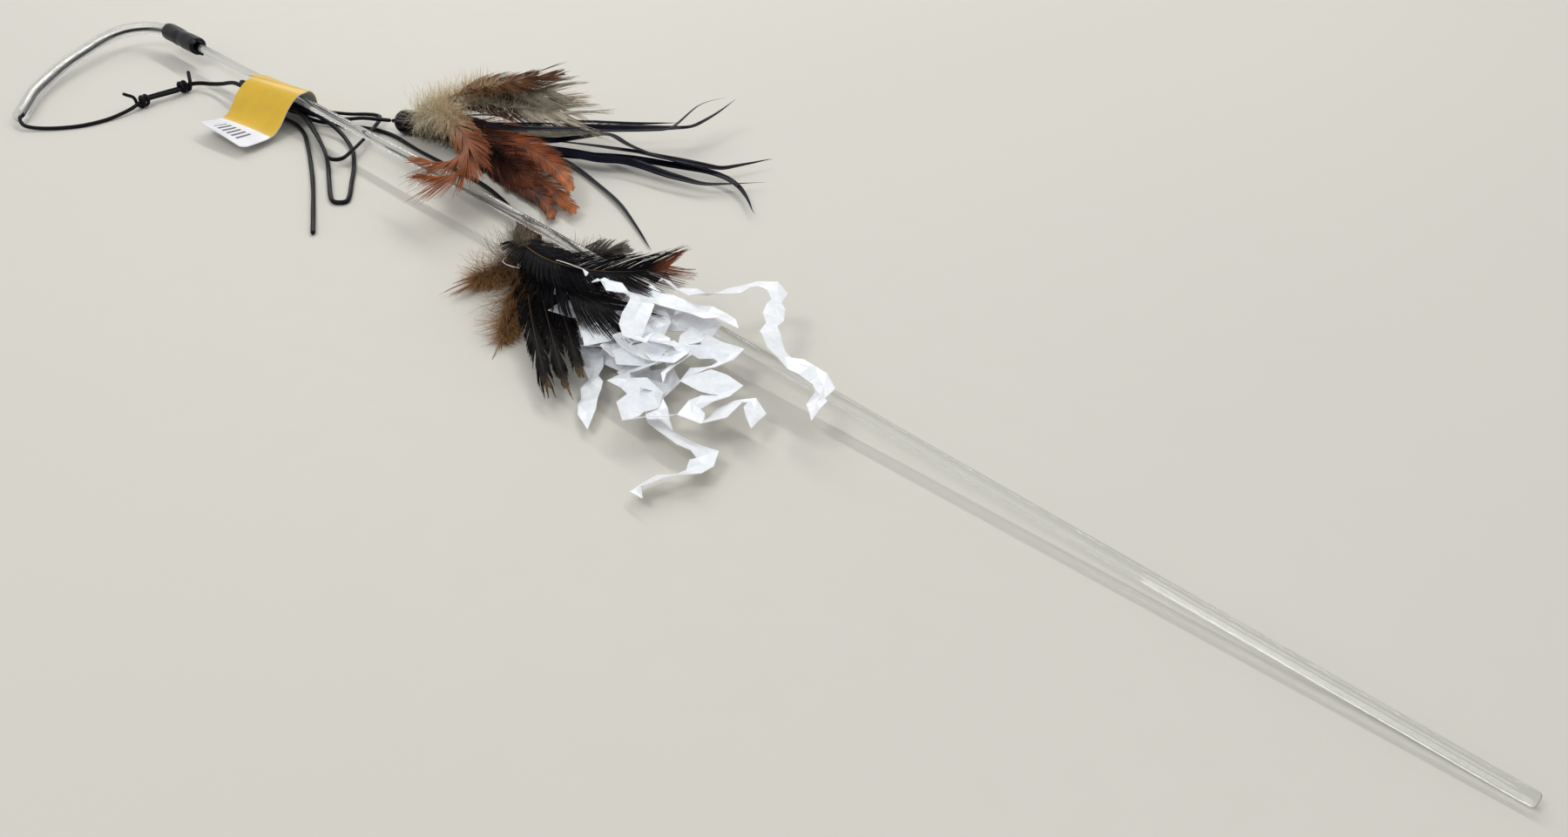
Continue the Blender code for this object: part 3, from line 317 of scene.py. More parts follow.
def shade_by_angle(thing: Piece, degrees: float) -> None:
    """Shades a piece smoothly, apart from edges that turn by more than an angle."""
    only(thing)
    bpy.ops.object.shade_smooth_by_angle(angle=math.radians(degrees))


def add_wall(thing: Piece, name: str, thickness: float, offset: float) -> bpy.types.Modifier:
    """Gives a sheet a thickness.

    Args:
        thing: the sheet.
        name: the modifier's name.
        thickness: the wall's thickness.
        offset: the side that it grows to: -1 inwards, 0 both ways.

    Returns:
        The modifier, which isn't applied yet.
    """
    wall = thing.modifiers.new(name, "SOLIDIFY")
    wall.thickness = thickness
    wall.offset = offset
    return wall


def eased(share: Array) -> Array:
    """Shares from 0 to 1 with a soft start and end."""
    return share * share * (3.0 - 2.0 * share)


# ---- finishes


class Nodes:
    """The node tree of a material, with short ways to add what the finishes need."""

    def __init__(self, name: str) -> None:
        """Starts a material with its Principled shader.

        Args:
            name: the material's name.
        """
        self.material = bpy.data.materials.new(name)
        self.material.use_nodes = True
        self.tree = self.material.node_tree
        self.shader = self.tree.nodes["Principled BSDF"]

    def add(self, kind: str, **settings: object) -> bpy.types.Node:
        """Adds a node.

        Args:
            kind: the node's type name, without its ShaderNode start.
            **settings: properties of the node.

        Returns:
            The node.
        """
        node = self.tree.nodes.new("ShaderNode" + kind)
        for key, value in settings.items():
            setattr(node, key, value)
        return node

    def join(self, source: Socket, target: Socket) -> None:
        """Links one socket to another."""
        self.tree.links.new(source, target)

    def fix(self, **values: object) -> None:
        """Sets sockets of the shader, named with underscores for spaces."""
        for key, value in values.items():
            self.shader.inputs[key.replace("_", " ")].default_value = value

    def place(self, scale: Row3 = (1.0, 1.0, 1.0), uv: bool = False) -> Socket:
        """Object or UV coordinates, scaled.

        Args:
            scale: the pattern's repeats a metre, along each axis.
            uv: whether the piece's own UV map is read.

        Returns:
            The socket with the coordinates.
        """
        source = self.add("TexCoord")
        mapping = self.add("Mapping")
        mapping.inputs["Scale"].default_value = scale
        self.join(source.outputs["UV" if uv else "Object"], mapping.inputs["Vector"])
        return mapping.outputs["Vector"]

    def noise(self, place: Socket, scale: float, detail: float = 4.0) -> Socket:
        """A noise value between 0 and 1.

        Args:
            place: the coordinates that it's read at.
            scale: how fine it is.
            detail: how many finer layers it has.

        Returns:
            The socket with the value.
        """
        node = self.add("TexNoise")
        node.inputs["Scale"].default_value = scale
        node.inputs["Detail"].default_value = detail
        self.join(place, node.inputs["Vector"])
        return node.outputs["Fac"]

    def ramp(self, value: Socket, stops: list[tuple[float, Rgb]]) -> Socket:
        """Turns a value into a colour.

        Args:
            value: the socket with a value from 0 to 1.
            stops: positions and their colours.

        Returns:
            The socket with the colour.
        """
        node = self.add("ValToRGB")
        ramp = node.color_ramp
        while len(ramp.elements) < len(stops):
            ramp.elements.new(0.5)
        for element, (position, colour) in zip(ramp.elements, stops):
            element.position = position
            element.color = (*colour, 1.0)
        self.join(value, node.inputs["Fac"])
        return node.outputs["Color"]

    def blend(self, first: Socket | Rgb, second: Socket | Rgb, share: Socket | float, mode: str = "MIX") -> Socket:
        """Mixes two colours.

        Args:
            first: the colour at share 0.
            second: the colour at share 1.
            share: how much of the second there is.
            mode: the way they mix.

        Returns:
            The socket with the mixed colour.
        """
        node = self.add("Mix", data_type="RGBA", blend_type=mode)
        for socket, value in ((node.inputs["Factor"], share), (node.inputs[6], first), (node.inputs[7], second)):
            if isinstance(value, Socket):
                self.join(value, socket)
            else:
                socket.default_value = (*value, 1.0) if isinstance(value, tuple) else value
        return node.outputs[2]

    def spread(self, value: Socket, low: float, high: float) -> Socket:
        """Maps a value from 0..1 to another range.

        Args:
            value: the socket with a value from 0 to 1.
            low: what 0 becomes.
            high: what 1 becomes.

        Returns:
            The socket with the new value.
        """
        node = self.add("MapRange")
        node.inputs["To Min"].default_value = low
        node.inputs["To Max"].default_value = high
        self.join(value, node.inputs["Value"])
        return node.outputs["Result"]

    def colour(self, source: Socket) -> None:
        """Sets the shader's base colour."""
        self.join(source, self.shader.inputs["Base Color"])

    def rough(self, source: Socket) -> None:
        """Sets the shader's roughness."""
        self.join(source, self.shader.inputs["Roughness"])

    def relief(self, height: Socket, distance: float, strength: float = 1.0) -> None:
        """Gives the surface a fine relief.

        Args:
            height: the socket with the height, from 0 to 1.
            distance: how high 1 stands.
            strength: how much of the relief shows.
        """
        bump = self.add("Bump")
        bump.inputs["Distance"].default_value = distance
        bump.inputs["Strength"].default_value = strength
        self.join(height, bump.inputs["Height"])
        self.join(bump.outputs["Normal"], self.shader.inputs["Normal"])


@dataclass(frozen=True)
class ClearPlastic:
    """Clear plastic, thin enough to be seen through, with faint draw marks along it."""

    name: str
    tint: Rgb
    cover: float
    roughness: float
    streak: Row3 = (8.0, 900.0, 900.0)

    def make(self) -> Material:
        """Builds the finish.

        Returns:
            The material.
        """
        made = Nodes(self.name)
        made.fix(Alpha=self.cover, Transmission_Weight=1.0, IOR=1.45)
        marks = made.noise(made.place(self.streak), scale=1.0, detail=2.0)
        faint = tuple(c * 0.9 for c in self.tint)
        made.colour(made.blend(faint, self.tint, marks))
        made.rough(made.spread(marks, self.roughness * 0.9, self.roughness * 1.15))
        return made.material


@dataclass(frozen=True)
class Moulded:
    """Black moulded or shrunk plastic, with a fine grain and a little dust."""

    name: str
    base: Rgb
    dust: Rgb
    roughness: float
    coat: float
    grain: float

    def make(self) -> Material:
        """Builds the finish.

        Returns:
            The material.
        """
        made = Nodes(self.name)
        made.fix(Coat_Weight=self.coat, Coat_Roughness=0.08, Specular_IOR_Level=0.12, IOR=1.5)
        place = made.place()
        cloudy = made.noise(place, scale=260.0, detail=5.0)
        made.colour(made.ramp(cloudy, [(0.35, self.base), (0.85, self.dust)]))
        made.rough(made.spread(cloudy, self.roughness * 0.7, self.roughness * 1.5))
        made.relief(made.noise(place, scale=2400.0, detail=3.0), self.grain)
        return made.material


@dataclass(frozen=True)
class Braid:
    """A fine braid or a grained lace, which follows the cord's own UV map, with a painted highlight on its raised
    threads.
    """

    name: str
    base: Rgb
    light: Rgb
    roughness: float
    coat: float
    turns: float
    pitch: float
    depth: float

    def make(self) -> Material:
        """Builds the finish.

        Returns:
            The material.
        """
        made = Nodes(self.name)
        made.fix(Coat_Weight=self.coat, Coat_Roughness=0.15, IOR=1.5, Specular_IOR_Level=0.12)
        place = made.place((self.turns, 1.0 / self.pitch, 1.0), uv=True)
        threads = []
        for lean in ("X", "Y"):
            wave = made.add("TexWave", bands_direction="DIAGONAL", wave_profile="SIN")
            wave.inputs["Scale"].default_value = 1.0
            wave.inputs["Distortion"].default_value = 0.6
            flip = made.add("Mapping")
            flip.inputs["Scale"].default_value = (-1.0, 1.0, 1.0) if lean == "X" else (1.0, 1.0, 1.0)
            made.join(place, flip.inputs["Vector"])
            made.join(flip.outputs["Vector"], wave.inputs["Vector"])
            threads.append(wave.outputs["Color"])
        crossed = made.blend(threads[0], threads[1], 1.0, "LIGHTEN")
        wear_and_sheen_fade = made.noise(made.place(), scale=700.0, detail=4.0)
        # painted highlight: the raised threads of the relief take the lighter colour, faded in patches by the noise
        # that also varies the roughness
        made.colour(made.blend(self.base, self.light, made.blend(crossed, (0.0, 0.0, 0.0), wear_and_sheen_fade)))
        made.rough(made.spread(wear_and_sheen_fade, self.roughness * 0.7, self.roughness * 1.3))
        made.relief(crossed, self.depth)
        return made.material


@dataclass(frozen=True)
class Card:
    """Coated card with a faint mottle and a fine relief."""

    name: str
    base: Rgb
    shade: Rgb
    roughness: float

    def make(self) -> Material:
        """Builds the finish.

        Returns:
            The material.
        """
        made = Nodes(self.name)
        made.fix(Coat_Weight=0.25, Coat_Roughness=0.25, IOR=1.5)
        place = made.place()
        mottle = made.noise(place, scale=90.0, detail=6.0)
        made.colour(made.ramp(mottle, [(0.3, self.shade), (0.7, self.base)]))
        made.rough(made.spread(mottle, self.roughness * 0.8, self.roughness * 1.2))
        made.relief(made.noise(place, scale=1500.0, detail=3.0), distance=0.00002)
        return made.material


@dataclass(frozen=True)
class Plumage:
    """Feather surface: the tint attribute gives its colour, fine streaks and a soft sheen the rest."""

    name: str
    gloss: float
    sheen: float
    shine: float

    def make(self) -> Material:
        """Builds the finish.

        Returns:
            The material.
        """
        made = Nodes(self.name)
        made.fix(Sheen_Weight=self.sheen, Sheen_Roughness=0.4, Specular_IOR_Level=self.shine, IOR=1.5)
        tint = made.add("Attribute", attribute_name="tint")
        place = made.place()
        flecks = made.noise(place, scale=900.0, detail=4.0)
        dark = made.blend(tint.outputs["Color"], (0.7, 0.7, 0.7), 1.0, "MULTIPLY")
        made.colour(made.blend(dark, tint.outputs["Color"], made.spread(flecks, low=0.3, high=1.6)))
        made.rough(made.spread(flecks, self.gloss * 0.8, self.gloss * 1.25))
        return made.material


@dataclass(frozen=True)
class Ribbon:
    """Shiny white ribbon film, a little see-through, with fine crinkles whose hollows are painted darker as shade."""

    name: str
    base: Rgb
    painted_crease_shade: Rgb
    roughness: float

    def make(self) -> Material:
        """Builds the finish.

        Returns:
            The material.
        """
        made = Nodes(self.name)
        made.fix(Subsurface_Weight=0.15, Subsurface_Scale=0.002, Coat_Weight=0.2, Coat_Roughness=0.25, IOR=1.45)
        place = made.place()
        creases = made.noise(place, scale=420.0, detail=6.0)
        # painted shade: where the crinkle relief dips, the colour turns to the darker crease tone
        made.colour(made.ramp(creases, [(0.3, self.painted_crease_shade), (0.6, self.base)]))
        made.rough(made.spread(creases, self.roughness * 0.7, self.roughness * 1.3))
        made.relief(creases, distance=0.0002, strength=0.6)
        return made.material


@dataclass(frozen=True)
class Tabletop:
    """The pale table under the wand, which isn't part of it, with broad patches of painted shade."""

    name: str
    base: Rgb
    far: Rgb

    def make(self) -> Material:
        """Builds the finish.

        Returns:
            The material.
        """
        made = Nodes(self.name)
        made.fix(IOR=1.4)
        place = made.place()
        broad = made.noise(place, scale=1.6, detail=2.0)
        # painted shade: broad noise darkens the table in wide patches towards the far tone, as uneven light would
        made.colour(made.blend(self.far, self.base, made.spread(broad, low=0.2, high=1.2)))
        made.rough(made.spread(made.noise(place, scale=60.0, detail=4.0), low=0.5, high=0.7))
        return made.material


CLEAR_ROD = ClearPlastic("clear_rod_plastic", (0.93, 0.94, 0.92), 0.85, 0.02)
CLEAR_TUBE = ClearPlastic("clear_tube_vinyl", (0.97, 0.98, 0.95), 0.4, 0.05, (200.0, 200.0, 200.0))
SLEEVE_RUBBER = Moulded("sleeve_rubber", (0.003, 0.003, 0.006), (0.008, 0.008, 0.012), 0.34, 0.1, 0.00003)
CAP_GLOSS = Moulded("cap_gloss", (0.001, 0.001, 0.003), (0.003, 0.003, 0.006), 0.07, 0.15, 0.000003)
GLUE = Moulded("quill_glue", (0.16, 0.10, 0.04), (0.26, 0.18, 0.09), 0.3, 0.3, 0.00003)
# each braid's second colour is a painted highlight for its raised threads
ELASTIC = Braid("elastic_braid", (0.003, 0.003, 0.004), (0.014, 0.014, 0.017), 0.6, 0.0, 6.0, 0.0016, 0.00012)
LACE = Braid("waxed_lace", (0.002, 0.002, 0.004), (0.007, 0.007, 0.012), 0.42, 0.0, 2.0, 0.006, 0.00004)
YELLOW_CARD = Card("tag_yellow", (0.71, 0.44, 0.008), (0.64, 0.385, 0.007), 0.5)
WHITE_CARD = Card("tag_white", (0.78, 0.78, 0.82), (0.66, 0.66, 0.72), 0.45)
INK = Card("tag_rules", (0.05, 0.05, 0.08), (0.08, 0.08, 0.12), 0.5)
VANES = Plumage("feather_vane", 0.6, 0.04, 0.3)
BLACK_VANES = Plumage("feather_black_vane", 0.42, 0.0, 0.05)
STREAMER_FILM = Plumage("streamer_film", 0.3, 0.0, 0.06)
# the second colour is painted shade for the crinkles' hollows
RIBBON = Ribbon("white_ribbon", (0.93, 0.93, 0.95), (0.84, 0.84, 0.88), 0.32)
# the second colour is painted shade, laid in broad patches
TABLE = Tabletop("table_top", (0.64, 0.62, 0.555), (0.60, 0.585, 0.53))


def dress(piece: Piece, *finishes: Material) -> None:
    """Gives a piece its materials.

    Args:
        piece: the piece.
        *finishes: the materials, in slot order.
    """
    piece.data.materials.clear()
    for finish in finishes:
        piece.data.materials.append(finish)


class Finishes:
    """Makes each finish once and hands it out."""

    def __init__(self) -> None:
        """Starts with nothing made."""
        self.made: dict[str, Material] = {}

    def __call__(self, finish: object) -> Material:
        """The material of a finish, which is made the first time.

        Args:
            finish: one of the finishes above.

        Returns:
            Its material.
        """
        if finish.name not in self.made:
            self.made[finish.name] = finish.make()
        return self.made[finish.name]


FINISH = Finishes()


def seat(piece: Piece, body: Body, slot: str, *nodes: str) -> Piece:
    """Puts a piece on its body, hides the solids that it replaces and logs its face count.

    Args:
        piece: the finished piece.
        body: the body that it rides on.
        slot: the name of its material slot, which is not used.
        *nodes: the solids that it replaces.

    Returns:
        The piece.
    """
    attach(piece, body.value)
    if nodes:
        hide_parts(*nodes)
    LOG.info("%s: %d faces on %s", piece.name, len(piece.data.polygons), body.value)
    return piece


# ---- rod, tube and sleeve


@dataclass
class Rod:
    """The clear rod: it climbs to the second lure's cap, which it lies on, and sags beyond."""

    diameter: float = 4.8 * MM
    bare_length: float = 795.0 * MM
    in_tube: float = 20.0 * MM
    cap_height: float = 11.0 * MM
    rest_place: float = 335.0 * MM
    rest_clearance: float = 0.592 * MM
    crest_place: float = 295.0 * MM
    crest_clearance: float = 1.6 * MM
    softness: float = 1.011 * MM
    droop: float = 0.0085
    edge_round: float = 1.0 * MM
    edge_steps: int = 5
    table_gap: float = 0.15 * MM
    sides: int = 64
    cuts: int = 80

    def height(self, x: Array | float) -> Array | float:
        """Height of the rod's axis.

        Args:
            x: distances from the rod's end under the sleeve.

        Returns:
            The heights above the table.
        """
        rise = (self.cap_height + self.rest_clearance) / (self.bare_length - self.rest_place)
        near = rise * (self.bare_length - x)
        far = self.cap_height + self.crest_clearance - self.droop * (self.crest_place - x)
        return self.diameter / 2 + near - self.softness * np.log1p(np.exp((near - far) / self.softness))

    def point(self, x: float) -> Array:
        """A point of the rod's axis at a distance from its end under the sleeve."""
        return np.array((x, 0.0, float(self.height(x)))) + SHIFT

    def cleared(self, points: Array, gap: float = 0.35 * MM) -> Array:
        """Moves points that would lie in the rod out of it, and points under the table onto it.

        Args:
            points: one row a point.
            gap: how far they stay off the rod.

        Returns:
            The moved points.
        """
        x = points[:, 0] - SHIFT[0]
        middle = self.height(x)
        across, high = points[:, 1] - SHIFT[1], points[:, 2] - middle
        reach = np.hypot(across, high)
        need = self.diameter / 2 + gap
        inside = (reach < need) & (x < self.bare_length) & (x > -self.in_tube)
        grow = np.where(inside, need / np.maximum(reach, 1e-6), 1.0)
        moved = points.copy()
        moved[:, 1] = across * grow + SHIFT[1]
        moved[:, 2] = np.maximum(high * grow + middle, self.table_gap)
        return moved

    def build(self) -> Piece:
        """A long cylinder whose butt edge is rounded, bent by its own weight.

        Returns:
            The rod.
        """
        length = self.bare_length + self.in_tube
        bpy.ops.object.select_all(action="DESELECT")
        bpy.ops.mesh.primitive_cylinder_add(
            vertices=self.sides,
            radius=self.diameter / 2,
            depth=length,
            end_fill_type="NGON",
            location=(length / 2 - self.in_tube + SHIFT[0], SHIFT[1], 0.0),
            rotation=(0.0, math.pi / 2, 0.0),
        )
        piece = settled(bpy.context.object, "clear_rod")
        pick_edges(piece, lambda first, second: abs(first.x - second.x) > length / 2)
        bpy.ops.mesh.subdivide(number_cuts=self.cuts)
        bpy.ops.object.mode_set(mode="OBJECT")
        butt = SHIFT[0] + self.bare_length
        pick_edges(piece, lambda first, second: min(first.x, second.x) > butt - 1e-6)
        bpy.ops.mesh.bevel(offset=self.edge_round, segments=self.edge_steps, profile=0.5, affect="EDGES")
        bpy.ops.object.mode_set(mode="OBJECT")
        for vertex in piece.data.vertices:
            vertex.co.z += float(self.height(vertex.co.x - SHIFT[0]))
        shade_by_angle(piece, degrees=50.0)
        dress(piece, FINISH(CLEAR_ROD))
        return seat(piece, Body.WAND, "clear_acrylic", "rod")


@dataclass
class TipTube:
    """The clear tube curled round at the tip, and the black sleeve over its joint with the rod."""

    rod: Rod
    outer: float = 8.0 * MM
    bore: float = 5.3 * MM
    sides: int = 40
    ring_step: float = 2.5 * MM
    sleeve_length: float = 40.0 * MM
    sleeve_wall: float = 0.8 * MM
    gap: float = 0.3 * MM
    inset: float = 2.0 * MM
    ear: float = 3.4 * MM
    sleeve_sides: int = 64
    sleeve_cuts: int = 30
    lip: float = 1.6 * MM
    lip_rings: int = 6
    mouth_gap: float = 0.8 * MM
    ripple: float = 0.10 * MM
    waist: float = 0.35 * MM
    ear_turn: float = 0.40
    ears: tuple[Pair, ...] = ((0.9, 1.0), (-1.7, 0.8))
    route: Route = (
        (-56.0, -6.0, 11.8), (-63.0, -17.0, 11.0), (-60.0, -31.0, 10.0), (-51.0, -46.0, 8.6),
        (-41.0, -61.0, 7.2), (-29.0, -75.0, 5.8), (-12.0, -91.0, 4.7), (4.0, -101.5, 4.15),
        (19.0, -111.0, 4.1),
    )

    def centreline(self) -> Array:
        """The tube's middle line.

        Returns:
            Points from inside the sleeve to the open end.
        """
        reaches = [self.inset, self.rod.in_tube, self.sleeve_length, self.sleeve_length + self.outer / 2]
        start = np.array([self.rod.point(-reach) for reach in reaches])
        return smooth_route(np.concatenate([start, laid_out(self.route)]), self.ring_step)

    def build_tube(self) -> Piece:
        """A hollow tube with an open mouth.

        Returns:
            The tube.
        """
        path = self.centreline()
        _, side, up = path_frames(path)
        skins = []
        for radius in (self.outer / 2, self.bore / 2):
            ring = round_section(radius, self.sides)
            rows = path[:, None, :] + ring[:, 0:1] * side[:, None, :] + ring[:, 1:2] * up[:, None, :]
            skins.append(rows.reshape(-1, 3))
        count = len(path) * self.sides
        outside = ring_faces(len(path), self.sides, closed=False)
        inside = ring_faces(len(path), self.sides, closed=False)[:, ::-1] + count
        here = np.arange(self.sides)
        after = (here + 1) % self.sides
        rims = []
        for low, flip in ((0, False), (count - self.sides, True)):
            a, b = here + low, after + low
            c, d = b + count, a + count
            quads = np.concatenate([np.stack([a, d, c], 1), np.stack([a, c, b], 1)])
            rims.append(quads[:, ::-1] if flip else quads)
        faces = np.concatenate([outside, inside, *rims])
        piece = mesh_piece("curled_tip_tube", np.concatenate(skins), faces)
        shade_by_angle(piece, degrees=40.0)
        dress(piece, FINISH(CLEAR_TUBE))
        return seat(piece, Body.WAND, "clear_vinyl", "flexible_tip_tube")

    def build_sleeve(self) -> Piece:
        """The shrunk sleeve: a tube that closes in on the rod, with two small ears at the rod's end.

        Returns:
            The sleeve.
        """
        outer = self.outer / 2 + self.gap + self.sleeve_wall
        start = Vector(self.rod.point(0.0))
        ahead = (Vector(self.rod.point(-self.sleeve_length)) - start).normalized()
        bpy.ops.object.select_all(action="DESELECT")
        bpy.ops.mesh.primitive_cylinder_add(
            vertices=self.sleeve_sides, radius=outer, depth=self.sleeve_length, end_fill_type="NOTHING",
            location=(0.0, 0.0, self.sleeve_length / 2),
        )
        piece = settled(bpy.context.object, "joint_sleeve_black")
        mesh = piece.data
        pick_edges(piece, lambda first, second: abs(first.z - second.z) > self.sleeve_length / 2)
        bpy.ops.mesh.subdivide(number_cuts=self.sleeve_cuts)
        bpy.ops.object.mode_set(mode="OBJECT")
        self.shape_sleeve(mesh, outer)
        add_wall(piece, "wall", self.sleeve_wall * 0.6, offset=-1.0)
        apply_modifiers(piece)
        side = Vector((0.0, 0.0, 1.0)).cross(ahead).normalized()
        turn = Matrix((side, ahead.cross(side), ahead)).transposed().to_4x4()
        mesh.transform(Matrix.Translation(start) @ turn)
        shade_by_angle(piece, degrees=50.0)
        dress(piece, FINISH(SLEEVE_RUBBER))
        return seat(piece, Body.WAND, "black_rubber", "joint_sleeve")

    def shape_sleeve(self, mesh: bpy.types.Mesh, outer: float) -> None:
        """Closes the sleeve's mouth in on the rod, draws out its ears and lets its wall shrink unevenly.

        Args:
            mesh: a plain upright tube, cut into rings.
            outer: the sleeve's radius.
        """
        mouth = self.rod.diameter / 2 + self.mouth_gap
        lip, last = self.lip, self.lip_rings
        far = self.sleeve_length - lip * 0.6
        for vertex in mesh.vertices:
            ring = round(vertex.co.z / self.sleeve_length * (self.sleeve_cuts + 1))
            turn = math.atan2(vertex.co.y, vertex.co.x)
            z = lip * ring / last
            if ring > last:
                z = lip + (far - lip) * (ring - last) / (self.sleeve_cuts + 1 - last)
            radius = outer
            if z < lip:
                radius = mouth + (outer - mouth) * math.sqrt(max(0.0, 1.0 - (1.0 - z / lip) ** 2))
            elif ring > self.sleeve_cuts:
                z, radius = self.sleeve_length, outer - self.sleeve_wall * 0.35
            share = z / self.sleeve_length
            radius += self.ripple * math.sin(turn * 3.0 + share * 9.0)
            radius -= self.waist * math.exp(-(((share - 0.5) / 0.08) ** 2))
            for middle, reach in self.ears:
                near = max(0.0, 1.0 - abs(math.remainder(turn - middle, math.tau)) / self.ear_turn)
                if ring <= last:
                    z -= self.ear * reach * near * (1.0 - ring / last)
                    radius += (outer * 0.94 - radius) * min(1.0, near * 1.6)
            scale = radius / vertex.co.xy.length
            vertex.co = (vertex.co.x * scale, vertex.co.y * scale, z)


# ---- cords


@dataclass
class Cords:
    """The elastic, the line with its coil, and the two knots that join them."""

    rod: Rod
    tube: TipTube
    elastic_diameter: float = 2.0 * MM
    line_width: float = 2.2 * MM
    line_thickness: float = 1.7 * MM
    gap: float = 0.3 * MM
    knot_turns: int = 2
    knot_points: int = 12
    elastic_tail: float = 8.0 * MM
    line_tail: float = 5.0 * MM
    line_twist: float = 0.7
    lay_clearance: float = 0.45 * MM
    turn_clearance: float = 0.6 * MM
    knot_left: Row3 = (40.0, -50.0, 3.8)
    knot_right: Row3 = (34.5, -29.0, 3.8)
    pivot_1: Row3 = (165.903, 28.6384, 6.5)
    ahead_1: Row3 = (0.838671, 0.544639, 0.0)
    pivot_2: Row3 = (320.651, 4.8551, 5.5)
    ahead_2: Row3 = (0.939693, -0.34202, 0.0)
    elastic_route: Route = (
        (24.0, -113.0, 3.4), (30.0, -113.0, 2.2), (36.0, -108.0, 1.3), (43.0, -99.0, 1.1),
        (47.5, -88.0, 1.1), (47.5, -75.0, 1.2), (45.0, -63.0, 2.3), (42.0, -56.0, 3.4),
    )
    main_route: Route = (
        (32.8, -22.4, 3.8), (35.4, -17.6, 4.0), (42.5, -14.2, 4.6), (52.0, -11.9, 6.6),
        (60.0, -10.8, 9.0), (68.0, -10.7, 10.9), (79.0, -10.4, 11.2), (89.0, -9.5, 10.7),
        (97.0, -7.9, 9.8), (111.0, -5.4, 8.6), (125.0, -3.8, 8.0), (137.0, -5.0, 7.1),
        (155.0, -9.6, 5.8), (171.0, -14.4, 5.1), (182.5, -18.4, 4.8), (188.5, -18.6, 4.7),
        (190.5, -14.0, 4.6), (183.5, -4.0, 4.5), (173.0, 8.5, 4.2), (163.0, 19.5, 4.0),
        (155.0, 27.5, 4.0), (149.5, 30.2, 4.1), (145.0, 26.5, 4.7), (141.5, 17.5, 6.2),
        (135.0, 9.0, 7.8), (126.0, 4.4, 8.3), (111.0, 1.5, 8.2), (97.0, -2.0, 8.6),
        (84.0, -4.1, 11.0), (76.0, -4.1, 11.5), (71.0, -4.5, 10.2), (68.6, -5.4, 6.9),
        (71.0, -6.4, 3.6), (77.0, -6.9, 2.6), (87.0, -6.2, 3.4), (99.0, -4.0, 4.8),
        (113.0, -1.6, 5.0), (126.0, 0.4, 4.8), (139.0, -3.0, 3.8), (156.0, -8.2, 2.4),
        (178.0, -16.4, 1.35), (202.0, -28.4, 1.25), (221.0, -38.0, 1.25), (228.8, -40.2, 1.25),
        (232.4, -36.4, 1.25), (227.5, -31.4, 1.25), (214.0, -22.6, 1.25), (197.0, -11.8, 1.25),
        (178.0, -1.8, 1.3), (160.0, 3.6, 2.2), (145.0, 4.6, 4.8), (133.0, 2.4, 7.4),
        (121.0, 0.2, 8.1), (107.0, -2.8, 8.0), (95.0, -5.9, 7.6), (83.0, -7.3, 10.4),
        (74.0, -7.5, 11.8), (67.0, -6.8, 10.3), (63.8, -5.5, 6.8), (66.6, -4.1, 3.1),
        (74.0, -3.7, 2.1), (85.0, -3.4, 3.0), (98.0, -0.6, 4.6), (113.0, 2.2, 4.9),
        (126.0, 4.0, 4.9), (137.0, 8.4, 5.2), (147.0, 13.4, 6.0), (153.5, 18.6, 7.0),
    )
    second_route: Route = (
        (254.0, -65.0, 1.25), (230.0, -52.0, 1.25), (206.0, -39.2, 1.25), (180.0, -26.4, 1.25),
        (154.0, -14.6, 1.3), (139.0, -8.6, 1.5), (125.0, -6.0, 2.0), (111.0, -6.6, 2.0),
        (102.0, -7.4, 1.8), (96.0, -5.4, 1.6), (94.5, -1.4, 1.6), (98.0, 2.2, 1.7),
        (107.0, 3.6, 1.9), (125.0, 4.0, 1.9), (135.0, 8.4, 1.5), (145.0, 14.4, 1.3),
        (156.0, 20.4, 1.25), (165.0, 23.6, 1.25), (176.0, 24.8, 1.25), (189.0, 24.2, 1.25),
        (207.0, 23.6, 1.25), (235.0, 24.0, 1.25), (263.0, 23.0, 1.25), (286.0, 18.6, 1.6),
        (301.0, 12.8, 3.4),
    )

    def inner_elastic(self) -> Array:
        """The elastic inside the tube, on the inside of the bend.

        Returns:
            Its middle line.
        """
        rod_end = -self.rod.in_tube - self.gap
        drift = (self.tube.bore / 2 - self.elastic_diameter / 2) * 0.45
        centre = self.tube.centreline()
        _, side, up = path_frames(centre)
        lane = centre + side * drift - up * drift * 0.5
        limit = SHIFT[0] + rod_end - self.elastic_diameter
        keep = (centre[:, 0] < limit) | (centre[:, 1] - SHIFT[1] < -self.tube.outer)
        points = np.concatenate([[self.rod.point(rod_end)], lane[keep]])
        return evenly(points, self.elastic_diameter * 0.6)

    def knot_frame(self) -> tuple[Array, Array, Array, Array]:
        """Where the two knots lie.

        Returns:
            Their centres, the direction between them, and the side that the strands keep.
        """
        left, right = laid_out([self.knot_left, self.knot_right])
        along = unit(right - left)
        side = unit(np.cross(along, (0.0, 0.0, 1.0)))
        return left, right, along, side

    def knot(self, centre: Array, along: Array, side: Array, lay: float, diameter: float,
             tail: float, lean: float) -> Array:
        """A cord's turns about another, then its free tail.

        Args:
            centre: the middle of the first turn.
            along: the direction that the turns follow one another in.
            side: the side where the first turn starts.
            lay: the turns' radius.
            diameter: the cord's diameter.
            tail: the tail's length.
            lean: the side that the tail leans to, 1 or -1.

        Returns:
            The knot's path.
        """
        up = unit(np.cross(side, along))
        pitch = diameter + self.turn_clearance
        steps = np.arange(self.knot_turns * self.knot_points + 1)[:, None]
        turn = math.tau * steps / self.knot_points
        points = centre + (side * np.cos(turn) + up * np.sin(turn)) * lay + along * pitch * steps / self.knot_points
        last = points[-1]
        leaving = [
            last + (side * out * lean + up * high + along * on) * diameter
            for out, high, on in ((0.0, 0.55, 0.1), (0.12, 1.0, 0.25), (0.4, 1.35, 0.5))
        ]
        leave = unit(side * 0.75 * lean + up * 0.35 + along * 0.55)
        leaving += [leaving[-1] + leave * tail * 0.5, leaving[-1] + leave * tail]
        return smooth_route(np.concatenate([points, leaving]), diameter * 0.3)

